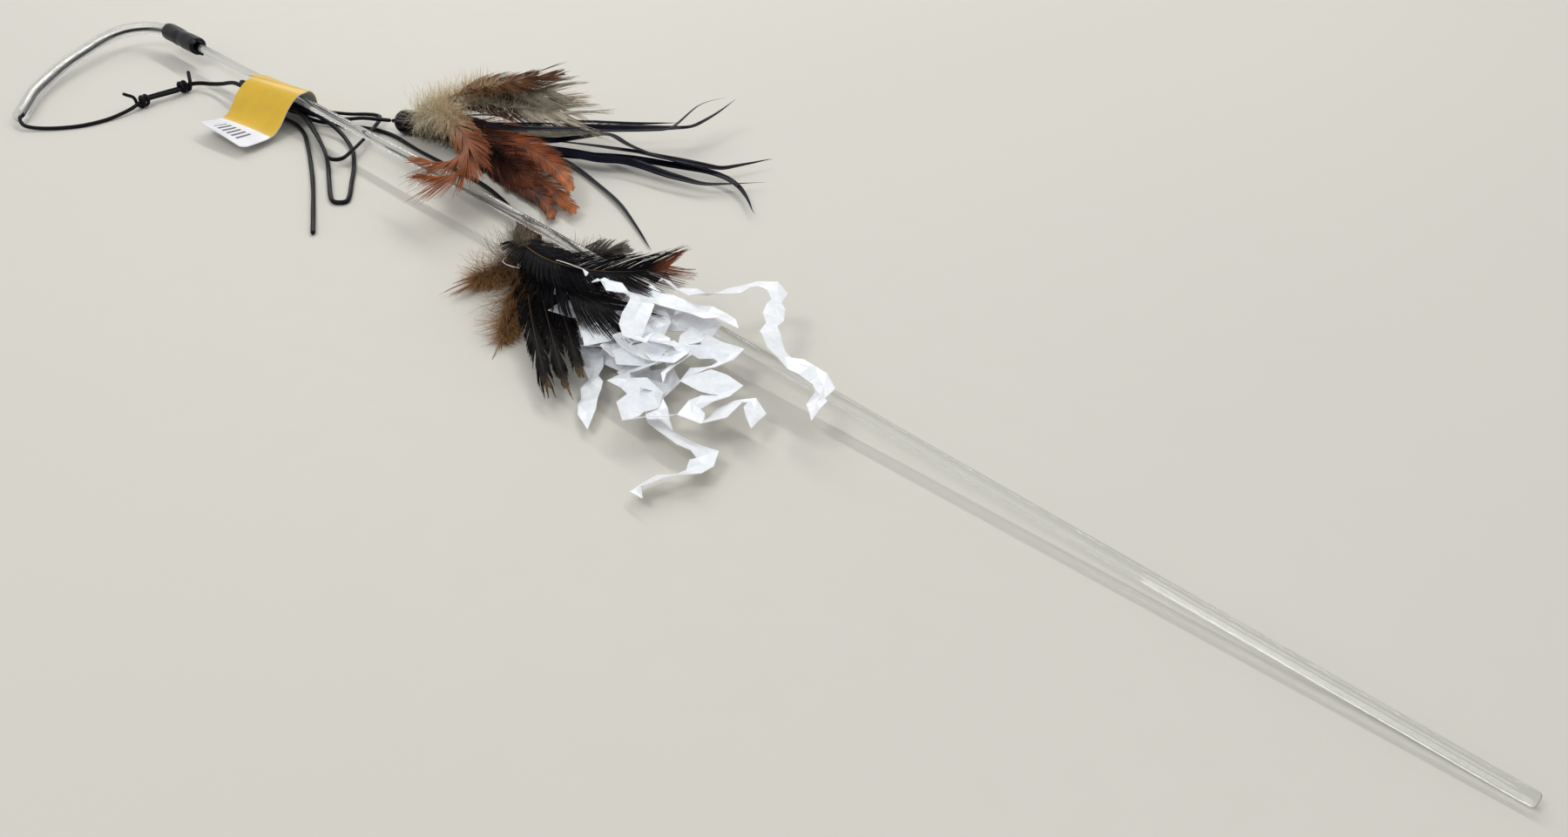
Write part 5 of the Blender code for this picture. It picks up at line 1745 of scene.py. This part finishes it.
@dataclass
class Lure:
    """What both lures share: a cap on the end of a line, and the frame that its feathers lie in."""

    rod: Rod
    number: int
    place: Pair
    heading: float
    cap_diameter: float
    cap_length: float
    lowest: float
    band: float
    delay: float
    settle: float
    body: Body
    drift: float = 20.0 * MM
    fluff_gap: float = 2.0 * MM
    cap_wall: float = 0.9 * MM
    line_hole: float = 3.2 * MM
    plug_recess: float = 1.6 * MM
    straight: float = 2.4 * MM
    opening: float = 42.0 * MM
    settle_start: float = 80.0 * MM
    settle_run: float = 130.0 * MM
    glue_gap: float = 0.3 * MM
    vane_start: float = 20.0 * MM
    turn_growth: float = 1.4
    cap_sides: int = 64
    cap_rings: int = 48
    skirt_steps: int = 6
    rim_round: float = 0.25 * MM
    rim_steps: int = 3
    rim_angle: float = 50.0

    @property
    def start(self) -> float:
        """Distance from the cap's end to where the quills leave the glue."""
        return self.cap_length - self.plug_recess + self.glue_gap

    @property
    def inner(self) -> float:
        """Radius of the cap's hollow."""
        return self.cap_diameter / 2 - self.cap_wall

    def to_world(self, rows: Array) -> Array:
        """Moves points from the lure's own frame to the model's.

        Args:
            rows: one row a point.

        Returns:
            The points in the model's frame.
        """
        turn = math.radians(self.heading)
        x, y, z = rows[:, 0], rows[:, 1], rows[:, 2]
        origin = np.array((self.place[0], self.place[1], self.cap_diameter / 2)) + SHIFT
        return origin + np.stack(
            [x * math.cos(turn) - y * math.sin(turn), x * math.sin(turn) + y * math.cos(turn), z], axis=1
        )

    def level_height(self, rows: Array, root_height: float, level: float) -> Array:
        """Heights of a piece of a level, which opens from its root and sinks again far out.

        Args:
            rows: the piece's path in the lure's own frame.
            root_height: where its root sits.
            level: how high in the pile it lies.

        Returns:
            The height of each point.
        """
        reach = np.hypot(rows[:, 0] - self.start, rows[:, 1])
        opened = np.sin(np.pi / 2 * np.clip((reach - self.straight - self.delay) / self.opening, 0.0, 1.0))
        far = np.clip((reach - self.settle_start) / self.settle_run, 0.0, 1.0)
        sunk = self.settle * far * far * (3.0 - 2.0 * far)
        height = self.lowest + self.band * level * (1.0 - sunk) - self.cap_diameter / 2
        return root_height + (height - root_height) * opened

    def feather_path(self, spray: "Spray", length: float, rise: float, root: Pair, points: int = 40) -> Array:
        """A feather's shaft: it leaves the glue straight, then turns to its heading and climbs to its level.

        Args:
            spray: what the feather is like.
            length: the feather's length.
            rise: how much its tip stands up.
            root: where it sits in the glue, across and up.
            points: how many points the path has.

        Returns:
            The path in the model's frame.
        """
        first, last = spray.headings
        t = np.linspace(0.0, 1.0, points)
        turn = -np.radians(first + (last - first) * t**self.turn_growth)
        step = (length - self.straight) / (points - 1)
        x = self.start + self.straight + np.concatenate([[0.0], np.cumsum(np.cos(turn[1:]) * step)])
        y = root[0] + np.concatenate([[0.0], np.cumsum(np.sin(turn[1:]) * step)])
        rows = np.stack([x, y, np.zeros(points)], axis=1)
        if spray.seen:
            rows = drawn_towards(rows, np.array([(x[0] / MM, y[0] / MM), *spray.seen]) * MM, self.drift)
        rows[:, 2] = self.level_height(rows, root[1], spray.level) + rise * t**3
        rows = np.concatenate([[(self.start, *root)], rows[: round(points * spray.trim)]])
        return self.to_world(rows)

    def build_cap(self) -> Piece:
        """The domed cap: half a sphere drawn out to a skirt, with a wall and a hole for the line.

        Returns:
            The cap.
        """
        radius = self.cap_diameter / 2
        bpy.ops.object.select_all(action="DESELECT")
        bpy.ops.mesh.primitive_uv_sphere_add(segments=self.cap_sides, ring_count=self.cap_rings, radius=radius)
        piece = settled(bpy.context.object, f"lure_{self.number}_domed_cap")
        bpy.ops.object.mode_set(mode="EDIT")
        bpy.ops.mesh.select_all(action="SELECT")
        bpy.ops.mesh.bisect(plane_co=(0.0, 0.0, 0.0), plane_no=(0.0, 0.0, 1.0), clear_inner=True)
        bpy.ops.mesh.select_all(action="SELECT")
        top = math.sqrt(radius**2 - (self.line_hole / 2) ** 2)
        bpy.ops.mesh.bisect(plane_co=(0.0, 0.0, top), plane_no=(0.0, 0.0, 1.0), clear_outer=True)
        bpy.ops.object.mode_set(mode="OBJECT")
        pick_edges(piece, lambda first, second: max(first.z, second.z) < 1e-6)
        step = (self.cap_length - radius) / self.skirt_steps
        for _ in range(self.skirt_steps):
            bpy.ops.mesh.extrude_region_move(TRANSFORM_OT_translate={"value": (0.0, 0.0, -step)})
        bpy.ops.object.mode_set(mode="OBJECT")
        add_wall(piece, "wall", self.cap_wall, offset=-1.0)
        edge_round = piece.modifiers.new("rim", "BEVEL")
        edge_round.width = self.rim_round
        edge_round.segments = self.rim_steps
        edge_round.limit_method = "ANGLE"
        edge_round.angle_limit = math.radians(self.rim_angle)
        apply_modifiers(piece)
        turn = Matrix.Rotation(math.radians(self.heading), 4, "Z") @ Matrix.Rotation(-math.pi / 2, 4, "Y")
        origin = Vector(np.array((self.place[0], self.place[1], radius)) + SHIFT)
        piece.data.transform(Matrix.Translation(origin) @ turn @ Matrix.Translation((0.0, 0.0, -radius)))
        shade_by_angle(piece, degrees=40.0)
        dress(piece, FINISH(CAP_GLOSS))
        return seat(piece, self.body, "black_plastic", f"lure_{self.number}_cap")

    def dress_nodes(self, nodes: dict[str, Piece]) -> None:
        """Gives the glue and the stopper knot, which stay as they are, their finishes."""
        dress(nodes[f"lure_{self.number}_quill_glue"], FINISH(GLUE))
        dress(nodes[f"lure_{self.number}_stopper_knot"], FINISH(LACE))

    def add_feather(self, spray: "Spray", path: Array, seed: int) -> Piece:
        """Builds a feather and seats it.

        Args:
            spray: what the feather is like.
            path: its shaft's path.
            seed: the start of its random numbers.

        Returns:
            The feather.
        """
        node = f"lure_{self.number}_{spray.node}"
        feather = Feather(
            f"{node}_vane", path, spray.width * MM, spray.vane, spray.tone, seed, self.rod, spray.tilt,
            lean=spray.lean, split=spray.split, start_share=self.vane_start / path_length(path),
            fluff_from=(self.fluff_gap + self.delay) / path_length(path), fluff_to=spray.fluff_to,
            fluff_reach=spray.fluff_reach * MM, fluff_count=spray.fluff_count,
        )
        piece = feather.build()
        dark = spray.tone in (BLACK, BLACK_TAN_TIP, BLACK_RUST_TIP, MAROON)
        dress(piece, FINISH(BLACK_VANES if dark else VANES))
        slot = "black_feather" if "black" in spray.node else "brown_feather"
        for word in ("rust", "tan", "grey"):
            if word in spray.node:
                slot = f"{word}_feather"
        return seat(piece, self.body, slot, node)


@dataclass(frozen=True)
class Spray:
    """One feather or streamer of a lure.

    The level is its place in the pile, from the lowest up. The headings are those at its root and tip, in degrees
    towards the near side. Length and rise are shares of the lure's reach, the width and the down's reach are in
    millimetres, and trim is the share of its length that it keeps. Tilt turns the vane towards the eye's side, lean
    and split are the barbs' angle and their clumps' spread in degrees, and fluff_to is the share of the shaft that
    the down ends at. What is seen are places that it passes in the photograph, in millimetres of the lure's own
    frame.
    """

    node: str
    level: float
    headings: Pair
    length: float
    width: float
    vane: Vane
    tone: Tone
    rise: float = 0.0
    tilt: float = 0.2
    fluff_to: float = 0.45
    fluff_reach: float = 12.0
    fluff_count: int = 450
    lean: float = 34.0
    split: float = 3.0
    trim: float = 1.0
    seen: tuple[Pair, ...] = ()

    @property
    def leaving(self) -> float:
        """Heading that says where in its row the root sits."""
        return self.headings[0] + self.headings[1] * 0.25


def streamer(node: str, level: float, headings: Pair, length: float, width: float, rise: float, *seen: Pair) -> Spray:
    """A streamer of the first lure, with the places that it passes in the photograph."""
    return Spray(node, level, headings, length, width, Vane.HACKLE, MAROON, rise, seen=seen)


@dataclass
class FirstLure(Lure):
    """The upper lure: brown, tan, grey and black feathers, and long black streamers."""

    number: int = 1
    place: Pair = (168.0 * MM, 30.0 * MM)
    heading: float = 33.0
    cap_diameter: float = 13.0 * MM
    cap_length: float = 14.0 * MM
    lowest: float = 0.9 * MM
    band: float = 1.5 * MM
    delay: float = 0.0
    settle: float = 0.5
    body: Body = Body.LURE_1
    reach: float = 170.0 * MM
    feather_seed: int = 100
    streamer_seed: int = 40
    streamer_points: int = 110
    streamer_clearance: float = 1.6 * MM
    streamer_swell: float = 1.15
    streamers: tuple[Spray, ...] = (
        streamer("streamer_low", 0, (20.0, 48.0), 1.17, 3.0, 0.0, (88.3, -12.0), (107.5, -22.4), (127.0, -40.1),
            (145.0, -59.2), (161.7, -82.4), (176.2, -104.4)),
        streamer("streamer_near_tip", 4, (6.0, 34.0), 1.27, 3.8, 0.0, (79.2, -17.5), (107.7, -21.8), (136.2, -17.6),
            (162.7, -19.1), (181.9, -21.8), (195.2, -30.8), (204.8, -45.0), (212.9, -62.3)),
        streamer("streamer_broad", 5, (0.0, 21.0), 1.20, 4.2, 0.0, (82.6, -25.2), (110.6, -29.1), (134.7, -23.6),
            (161.8, -33.0), (178.0, -38.3), (194.1, -33.1), (210.1, -26.1)),
        streamer("streamer_centre", 6, (-5.0, 12.0), 1.16, 3.8, 0.0, (79.7, -17.8), (103.1, -18.9), (138.7, -13.9),
            (159.7, -20.9), (178.7, -22.9), (193.7, -10.9), (205.7, 1.1)),
        streamer("streamer_split", 7, (8.0, 10.0), 1.15, 3.4, 0.0, (84.6, -18.1), (107.1, -9.5), (119.3, -0.5),
            (134.0, -10.7), (155.7, -19.5), (175.6, -24.1), (192.9, -28.8)),
        streamer("streamer_straight", 9, (-6.0, -5.0), 0.83, 2.4, 0.0, (90.8, 2.8), (109.2, 5.7), (130.3, 11.5),
            (150.1, 21.7)),
        streamer("streamer_rise_long", 10, (0.0, -30.0), 1.00, 3.8, 0.03, (88.4, -37.4), (109.5, -34.2),
            (134.2, -31.1), (148.7, -20.8), (159.1, 5.2), (167.3, 29.0), (172.5, 53.9)),
        streamer("streamer_rise_short", 11, (4.0, -31.0), 0.98, 3.4, 0.05, (84.0, -26.3), (101.2, -23.0),
            (120.2, -23.3), (138.5, -32.7), (148.2, -18.6), (154.7, 2.2), (159.7, 29.6), (170.4, 41.3)),
    )
    feathers: tuple[Spray, ...] = (
        Spray("feather_grey_far", 1, (-12.0, -26.0), 0.58, 20.0, Vane.DOWN, GREY, 0.0, 0.1, 0.75, 17.0, 900),
        Spray("feather_hackle_near", 2, (10.0, 72.0), 0.93, 24.0, Vane.HACKLE, RUST_DARK, 0.0, 0.5, 0.6, 12.0, 500,
            seen=((56.7, -21.6), (87.1, -48.6), (112.1, -71.3), (121.5, -87.3))),
        Spray("feather_hackle_long", 3, (14.0, 76.0), 0.90, 25.0, Vane.HACKLE, ORANGE, 0.0, 0.5, 0.6, 12.0, 500,
            seen=((59.8, -17.4), (88.0, -39.5), (116.5, -65.2), (131.7, -82.0))),
        Spray("feather_rust_near", 8, (16.0, 56.0), 0.82, 24.0, Vane.HACKLE, ORANGE, 0.0, 0.6, 0.5, 12.0, 350,
            seen=((60.6, -17.9), (90.9, -34.0), (111.5, -51.4), (125.9, -71.4))),
        Spray("feather_black_near", 12, (22.0, 66.0), 0.82, 28.0, Vane.POINTED, MAROON, 0.0, 0.5, 0.85, 17.0, 1100,
            seen=((45.6, -24.4), (75.4, -51.1), (96.1, -68.0), (113.9, -84.6))),
        Spray("feather_grey_barred", 13, (-2.0, 11.0), 0.58, 29.0, Vane.ROUND, GREY_TIPPED, 0.0, 0.4, 0.85, 17.0, 900,
            trim=0.88),
        Spray("feather_tan_low", 14, (-3.0, 4.0), 0.54, 22.0, Vane.ROUND, TAN, 0.0, 0.6, 0.5, 20.0, 900, trim=0.88),
        Spray("feather_rust_curl", 15, (30.0, 108.0), 0.75, 19.0, Vane.POINTED, RUST, 0.0, 0.6, 0.45, 17.0, 900, 19.0,
            4.0, seen=((40.0, -22.0), (58.0, -44.0), (75.0, -68.0), (79.0, -88.0), (71.0, -97.0), (58.0, -96.0))),
        Spray("feather_rust_sweep", 16, (36.0, 96.0), 0.69, 18.0, Vane.POINTED, RUST, 0.0, 0.6, 0.45, 22.0, 1200,
            19.0, 4.0, seen=((40.0, -24.0), (57.0, -43.0), (72.0, -63.0), (73.0, -80.0), (66.0, -87.0),
            (53.0, -82.0))),
        Spray("feather_tan_round", 17, (-8.0, 7.0), 0.52, 22.0, Vane.ROUND, GREY_TIPPED, 0.02, 0.7, 0.5, 16.0, 700,
            trim=0.88),
        Spray("feather_brown_tall", 18, (-8.0, -9.0), 0.50, 16.0, Vane.POINTED, BROWN, 0.06, 0.6, 0.7, 14.0, 800,
            26.0, 5.0, 0.94),
        Spray("feather_brown_top", 19, (-2.0, 12.0), 0.46, 17.0, Vane.POINTED, BROWN, 0.09, 0.6, 0.7, 13.0, 800, 26.0,
            5.0, 0.94),
    )

    def build(self, nodes: dict[str, Piece]) -> None:
        """Builds the lure.

        Args:
            nodes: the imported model's objects, by name.
        """
        self.build_cap()
        self.dress_nodes(nodes)
        sprays = sorted([*self.streamers, *self.feathers], key=lambda spray: spray.level)
        roots = fanned_roots(root_places(len(sprays), self.inner), [spray.leaving for spray in sprays])
        for k, (spray, root) in enumerate(zip(sprays, roots)):
            length, rise = self.reach * spray.length, self.reach * spray.rise
            if spray in self.feathers:
                self.add_feather(spray, self.feather_path(spray, length, rise, root), self.feather_seed + k)
                continue
            path = self.feather_path(spray, length, rise, root, self.streamer_points)
            path = self.rod.cleared(path, self.streamer_clearance)
            width = spray.width * self.streamer_swell * MM
            piece = Streamer(f"lure_1_{spray.node}_blade", path, width, self.streamer_seed + k).build()
            dress(piece, FINISH(STREAMER_FILM))
            seat(piece, self.body, "black_feather", f"lure_1_{spray.node}")


@dataclass(frozen=True)
class Strip:
    """One white strip: its level, its route in the heap, where it is seen, and its width in millimetres.

    The route and the places that are seen are shares of the strips' reach, along and towards the near side.
    """

    node: str
    level: float
    route: tuple[Pair, ...]
    seen: tuple[Pair, ...] = ()
    width: float = 8.5


@dataclass
class SecondLure(Lure):
    """The lower lure: dark feathers and a heap of crinkled white strips."""

    number: int = 2
    place: Pair = (323.0 * MM, 4.0 * MM)
    heading: float = -20.0
    cap_diameter: float = 11.0 * MM
    cap_length: float = 12.5 * MM
    lowest: float = 0.9 * MM
    band: float = 1.4 * MM
    delay: float = 11.5 * MM
    settle: float = 0.4
    body: Body = Body.LURE_2
    reach: float = 130.0 * MM
    strip_reach: float = 210.0 * MM
    strip_heading: float = -5.0
    strip_splay: float = 1.25
    strip_step: float = 1.5 * MM
    strip_clearance: float = 1.0 * MM
    feather_seed: int = 200
    strip_seed: int = 300
    tuck: float = 10.0 * MM
    tuck_from: float = 6.0 * MM
    tuck_over: float = 64.0 * MM
    tuck_level: float = 17.0
    heaped: float = 10.0
    loose_from: float = 50.0 * MM
    loose_over: float = 20.0 * MM
    wave: float = 23.0 * MM
    wave_reach: float = 8.5 * MM
    fluff_gap: float = -5.0 * MM
    feathers: tuple[Spray, ...] = (
        Spray("feather_grey_far", 0, (-45.0, -100.0), 0.36, 18.0, Vane.DOWN, GREY_DARK, 0.0, 0.5, 0.9, 11.0, 700,
            lean=62.0, split=9.0),
        Spray("feather_brown_down", 1, (19.0, 27.0), 0.66, 14.0, Vane.DOWN, WISP, 0.0, 0.2, 1.0, 25.0, 2200, 24.0,
            9.0),
        Spray("feather_short_near", 2, (29.0, 80.0), 0.32, 14.0, Vane.DOWN, WISP, 0.0, 0.2, 1.0, 21.0, 1400, 26.0,
            9.0),
        Spray("feather_black_long", 6, (15.0, 6.0), 1.05, 15.0, Vane.HACKLE, BLACK_TAN_TIP, 0.0, 0.3, 0.4, 9.0, 250,
            20.0),
        Spray("feather_black_outer", 7, (11.0, 7.0), 1.08, 14.0, Vane.HACKLE, BLACK_TAN_TIP, 0.0, 0.3, 0.4, 9.0, 250,
            20.0),
        Spray("feather_tan_tipped", 8, (7.0, 8.0), 1.04, 14.5, Vane.HACKLE, BLACK_TAN_TIP, 0.0, 0.3, 0.4, 9.0, 250,
            20.0),
        Spray("feather_rust_centre", 13, (15.0, -22.0), 0.61, 18.0, Vane.ROUND, MAROON, 0.0, 0.5, 0.35, 9.0, 250),
        Spray("feather_black_small", 14, (19.0, -34.0), 0.85, 26.0, Vane.ROUND, BLACK, 0.0, 0.5, 0.3, 8.0, 200),
        Spray("feather_black_right", 18, (32.0, -98.0), 0.95, 27.0, Vane.ROUND, BLACK_RUST_TIP, 0.0, 0.7, 0.42, 14.0,
            900, lean=46.0, split=1.0),
    )
    strips: tuple[Strip, ...] = (
        Strip("strip_left", 3, ((0.12, 0.09), (0.30, 0.19), (0.48, 0.23), (0.60, 0.27), (0.71, 0.31), (0.75, 0.345)),
            ((0.12, 0.09), (0.364, 0.084), (0.473, 0.145), (0.514, 0.156), (0.581, 0.202), (0.643, 0.246),
            (0.656, 0.263), (0.718, 0.296))),
        Strip("strip_low", 4, ((0.12, 0.07), (0.30, 0.15), (0.46, 0.17), (0.58, 0.20), (0.66, 0.24)), ((0.12, 0.07),
            (0.3, 0.075), (0.417, 0.09), (0.497, 0.15), (0.548, 0.134), (0.57, 0.076), (0.654, 0.044),
            (0.761, 0.076)), 10.5),
        Strip("strip_tail", 5, ((0.12, 0.06), (0.34, 0.13), (0.52, 0.15), (0.72, 0.20), (0.78, 0.26), (0.86, 0.24),
            (0.93, 0.22), (0.96, 0.28), (0.93, 0.34), (0.95, 0.40)), ((0.12, 0.06), (0.34, 0.08), (0.547, 0.104),
            (0.697, 0.155), (0.791, 0.193), (0.854, 0.199), (0.919, 0.182), (0.932, 0.207), (0.953, 0.236),
            (0.928, 0.276), (0.927, 0.31), (0.922, 0.337), (0.962, 0.338))),
        Strip("strip_centre", 9, ((0.12, 0.07), (0.33, 0.14), (0.50, 0.11), (0.64, 0.15), (0.74, 0.17)),
            ((0.12, 0.07), (0.33, 0.1), (0.557, 0.109), (0.649, 0.132), (0.709, 0.155), (0.779, 0.198),
            (0.786, 0.224), (0.83, 0.273), (0.848, 0.239), (0.913, 0.23)), 10.5),
        Strip("strip_right", 10, ((0.13, 0.08), (0.32, 0.12), (0.48, 0.08), (0.62, 0.07), (0.74, 0.10), (0.84, 0.14),
            (0.90, 0.08)), ((0.13, 0.08), (0.35, 0.05), (0.534, -0.005), (0.614, -0.009), (0.657, -0.002),
            (0.736, 0.043), (0.785, 0.084), (0.812, 0.109), (0.848, 0.114), (0.868, 0.086), (0.914, 0.073)), 10.2),
        Strip("strip_fold", 11, ((0.13, 0.09), (0.30, 0.16), (0.40, 0.10), (0.52, 0.18), (0.62, 0.12)), ((0.13, 0.09),
            (0.32, 0.06), (0.401, 0.053), (0.49, 0.086), (0.516, 0.13), (0.585, 0.096), (0.67, 0.099), (0.738, 0.1)),
            10.5),
        Strip("strip_heap", 12, ((0.13, 0.10), (0.30, 0.13), (0.42, 0.18), (0.54, 0.10), (0.64, 0.17)), ((0.13, 0.1),
            (0.33, 0.07), (0.443, 0.063), (0.512, 0.029), (0.575, -0.01), (0.663, 0.01), (0.664, 0.068),
            (0.606, 0.092), (0.632, 0.154)), 10.5),
        Strip("strip_bridge", 15, ((0.13, 0.08), (0.31, 0.11), (0.45, 0.06), (0.55, 0.02), (0.62, -0.07),
            (0.68, -0.07)), ((0.13, 0.08), (0.33, 0.08), (0.45, 0.03), (0.55, 0.0), (0.63, -0.05), (0.69, -0.05))),
        Strip("strip_crossing", 16, ((0.13, 0.10), (0.31, 0.09), (0.46, 0.06), (0.58, 0.04), (0.62, -0.05),
            (0.62, -0.14), (0.70, -0.13), (0.78, -0.07), (0.88, 0.015), (0.95, 0.04), (0.98, 0.11)), ((0.13, 0.10),
            (0.30, 0.08), (0.408, 0.049), (0.447, -0.03), (0.497, -0.036), (0.544, -0.049), (0.583, -0.082),
            (0.58, -0.159), (0.60, -0.195), (0.632, -0.184), (0.704, -0.118), (0.737, -0.087), (0.789, -0.063),
            (0.861, -0.066), (0.917, -0.07), (0.944, -0.034), (1.0, 0.024))),
        Strip("strip_knotted", 17, ((0.12, 0.13), (0.27, 0.165), (0.40, 0.05), (0.50, 0.12), (0.58, 0.05)),
            ((0.12, 0.13), (0.3, 0.08), (0.412, 0.06), (0.528, 0.066), (0.6, 0.044), (0.685, 0.118), (0.679, 0.159),
            (0.622, 0.094)), 9.5),
    )

    def strip_path(self, strip: Strip, root: Pair) -> Array:
        """A strip's middle line: out of the cap, then along its route in the heap.

        Args:
            strip: the strip.
            root: where it sits in the glue, across and up.

        Returns:
            The path in the model's frame.
        """
        turn = math.radians(self.strip_heading - self.heading)
        drawn = []
        for route in (strip.route, strip.seen):
            flat = np.array([(x, -y) for x, y in route]) * self.strip_reach
            x = flat[:, 0] * math.cos(turn) - flat[:, 1] * math.sin(turn) + self.start
            y = flat[:, 0] * math.sin(turn) + flat[:, 1] * math.cos(turn)
            drawn.append(np.concatenate([[(self.start + self.straight, root[0])], np.stack([x, y], axis=1)]))
        rows = np.concatenate([drawn[0], np.full((len(drawn[0]), 1), root[1])], axis=1)
        fine = smooth_route(rows, self.strip_step)[round(self.delay / self.strip_step):]
        first = np.array([(self.start + self.straight, root[0], root[1])])
        fine = evenly(np.concatenate([first, fine]), self.strip_step)
        fine = drawn_towards(fine, drawn[1], self.drift)
        if strip.width > self.heaped:
            travelled = np.linspace(0.0, path_length(fine), len(fine))
            grown = np.clip((travelled - self.loose_from) / self.loose_over, 0.0, 1.0)
            wave = np.sin(travelled / self.wave * 2.0 * math.pi + strip.level) * self.wave_reach * grown
            ahead = unit(np.gradient(fine[:, :2], axis=0))
            fine[:, :2] += np.stack([-ahead[:, 1], ahead[:, 0]], axis=1) * wave[:, None]
        fine[:, 2] = self.level_height(fine, root[1], strip.level)
        run = np.linspace(0.0, path_length(fine), len(fine))
        low = np.sin(math.pi * np.clip((run - self.tuck_from) / self.tuck_over, 0.0, 1.0))
        fine[:, 2] -= self.tuck * low * strip.level / self.tuck_level
        return self.to_world(np.concatenate([[(self.start, *root)], fine]))

    def strip_turn(self, strip: Strip) -> float:
        """Heading at which a strip leaves the cap, in degrees towards the near side."""
        x, y = strip.route[0]
        return (math.degrees(math.atan2(y, x)) + self.heading - self.strip_heading) * self.strip_splay

    def build(self, nodes: dict[str, Piece]) -> None:
        """Builds the lure.

        Args:
            nodes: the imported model's objects, by name.
        """
        self.build_cap()
        self.dress_nodes(nodes)
        pieces = sorted([*self.feathers, *self.strips], key=lambda piece: piece.level)
        headings = [piece.leaving if isinstance(piece, Spray) else self.strip_turn(piece) for piece in pieces]
        roots = fanned_roots(root_places(len(pieces), self.inner), headings)
        for k, (piece, root) in enumerate(zip(pieces, roots)):
            if isinstance(piece, Spray):
                path = self.feather_path(piece, self.reach * piece.length, 0.0, root)
                self.add_feather(piece, path, self.feather_seed + k)
                continue
            path = self.rod.cleared(self.strip_path(piece, root), self.strip_clearance)
            film = CrinkledStrip(f"lure_2_{piece.node}_film", path, piece.width * MM, self.strip_seed + k).build()
            dress(film, FINISH(RIBBON))
            seat(film, self.body, "white_strip", f"lure_2_{piece.node}")


# ---- studio


@dataclass(frozen=True)
class Lamp:
    """A soft lamp: its place, the point that it faces, its face with the length along the rod, power and colour."""

    name: str
    place: Row3
    aim: Row3
    sides: Pair
    watts: float
    colour: Rgb


@dataclass
class Studio:
    """The table, the soft light and the camera."""

    table_size: float = 6.0
    camera_place: Row3 = (0.50575, -0.3644, 0.3016)
    camera_heading: float = 137.14
    camera_pitch: float = 32.1
    lens: float = 35.0
    sensor: float = 36.0
    nearest: float = 0.01
    room_light: float = 0.68
    room_colour: Rgb = (0.97, 0.98, 1.0)
    lamps: tuple[Lamp, ...] = (
        Lamp("window_lamp", (-1.4, 0.95, 1.25), (-1.4, 0.0, 0.0), (3.4, 0.12), 17.0, (1.0, 0.985, 0.96)),
        Lamp("fill_lamp", (-0.1, -1.1, 1.7), (-0.1, 0.0, 0.0), (0.8, 0.6), 8.5, (1.0, 0.995, 0.985)),
    )

    def build_table(self) -> None:
        """The plain pale table."""
        bpy.ops.object.select_all(action="DESELECT")
        bpy.ops.mesh.primitive_plane_add(size=self.table_size, location=(0.0, 0.0, 0.0))
        table = settled(bpy.context.object, "table")
        dress(table, FINISH(TABLE))

    def build_camera(self) -> None:
        """The camera at the photograph's place."""
        data = bpy.data.cameras.new("camera")
        data.lens = self.lens
        data.sensor_width = self.sensor
        data.clip_start = self.nearest
        camera = bpy.data.objects.new("camera", data)
        camera.location = self.camera_place
        camera.rotation_euler = (math.radians(90.0 - self.camera_pitch), 0.0, math.radians(self.camera_heading - 90.0))
        bpy.context.scene.collection.objects.link(camera)
        bpy.context.scene.camera = camera

    def build_lamp(self, lamp: Lamp) -> None:
        """Hangs one soft lamp.

        Args:
            lamp: what it's like.
        """
        data = bpy.data.lights.new(lamp.name, "AREA")
        data.shape = "RECTANGLE"
        data.size, data.size_y = lamp.sides
        data.energy = lamp.watts
        data.color = lamp.colour
        hung = bpy.data.objects.new(lamp.name, data)
        hung.location = lamp.place
        hung.rotation_euler = (Vector(lamp.aim) - Vector(lamp.place)).to_track_quat("-Z", "Y").to_euler()
        bpy.context.scene.collection.objects.link(hung)

    def build(self) -> None:
        """Builds the studio."""
        self.build_table()
        self.build_camera()
        for lamp in self.lamps:
            self.build_lamp(lamp)
        world = bpy.data.worlds.new("room")
        world.use_nodes = True
        sky = world.node_tree.nodes["Background"]
        sky.inputs["Color"].default_value = (*self.room_colour, 1.0)
        sky.inputs["Strength"].default_value = self.room_light
        scene = bpy.context.scene
        scene.world = world
        scene.view_settings.view_transform = "Standard"


def main() -> None:
    """Dresses the whole wand and its studio."""
    logging.basicConfig(level=logging.INFO, format="%(message)s")
    nodes = frame["nodes"]
    rod = Rod()
    tube = TipTube(rod)
    Studio().build()
    Cords(rod, tube).build()
    rod.build()
    tube.build_tube()
    tube.build_sleeve()
    HangTag().build()
    FirstLure(rod).build(nodes)
    SecondLure(rod).build(nodes)
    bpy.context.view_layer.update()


if __name__ == "__main__":
    main()
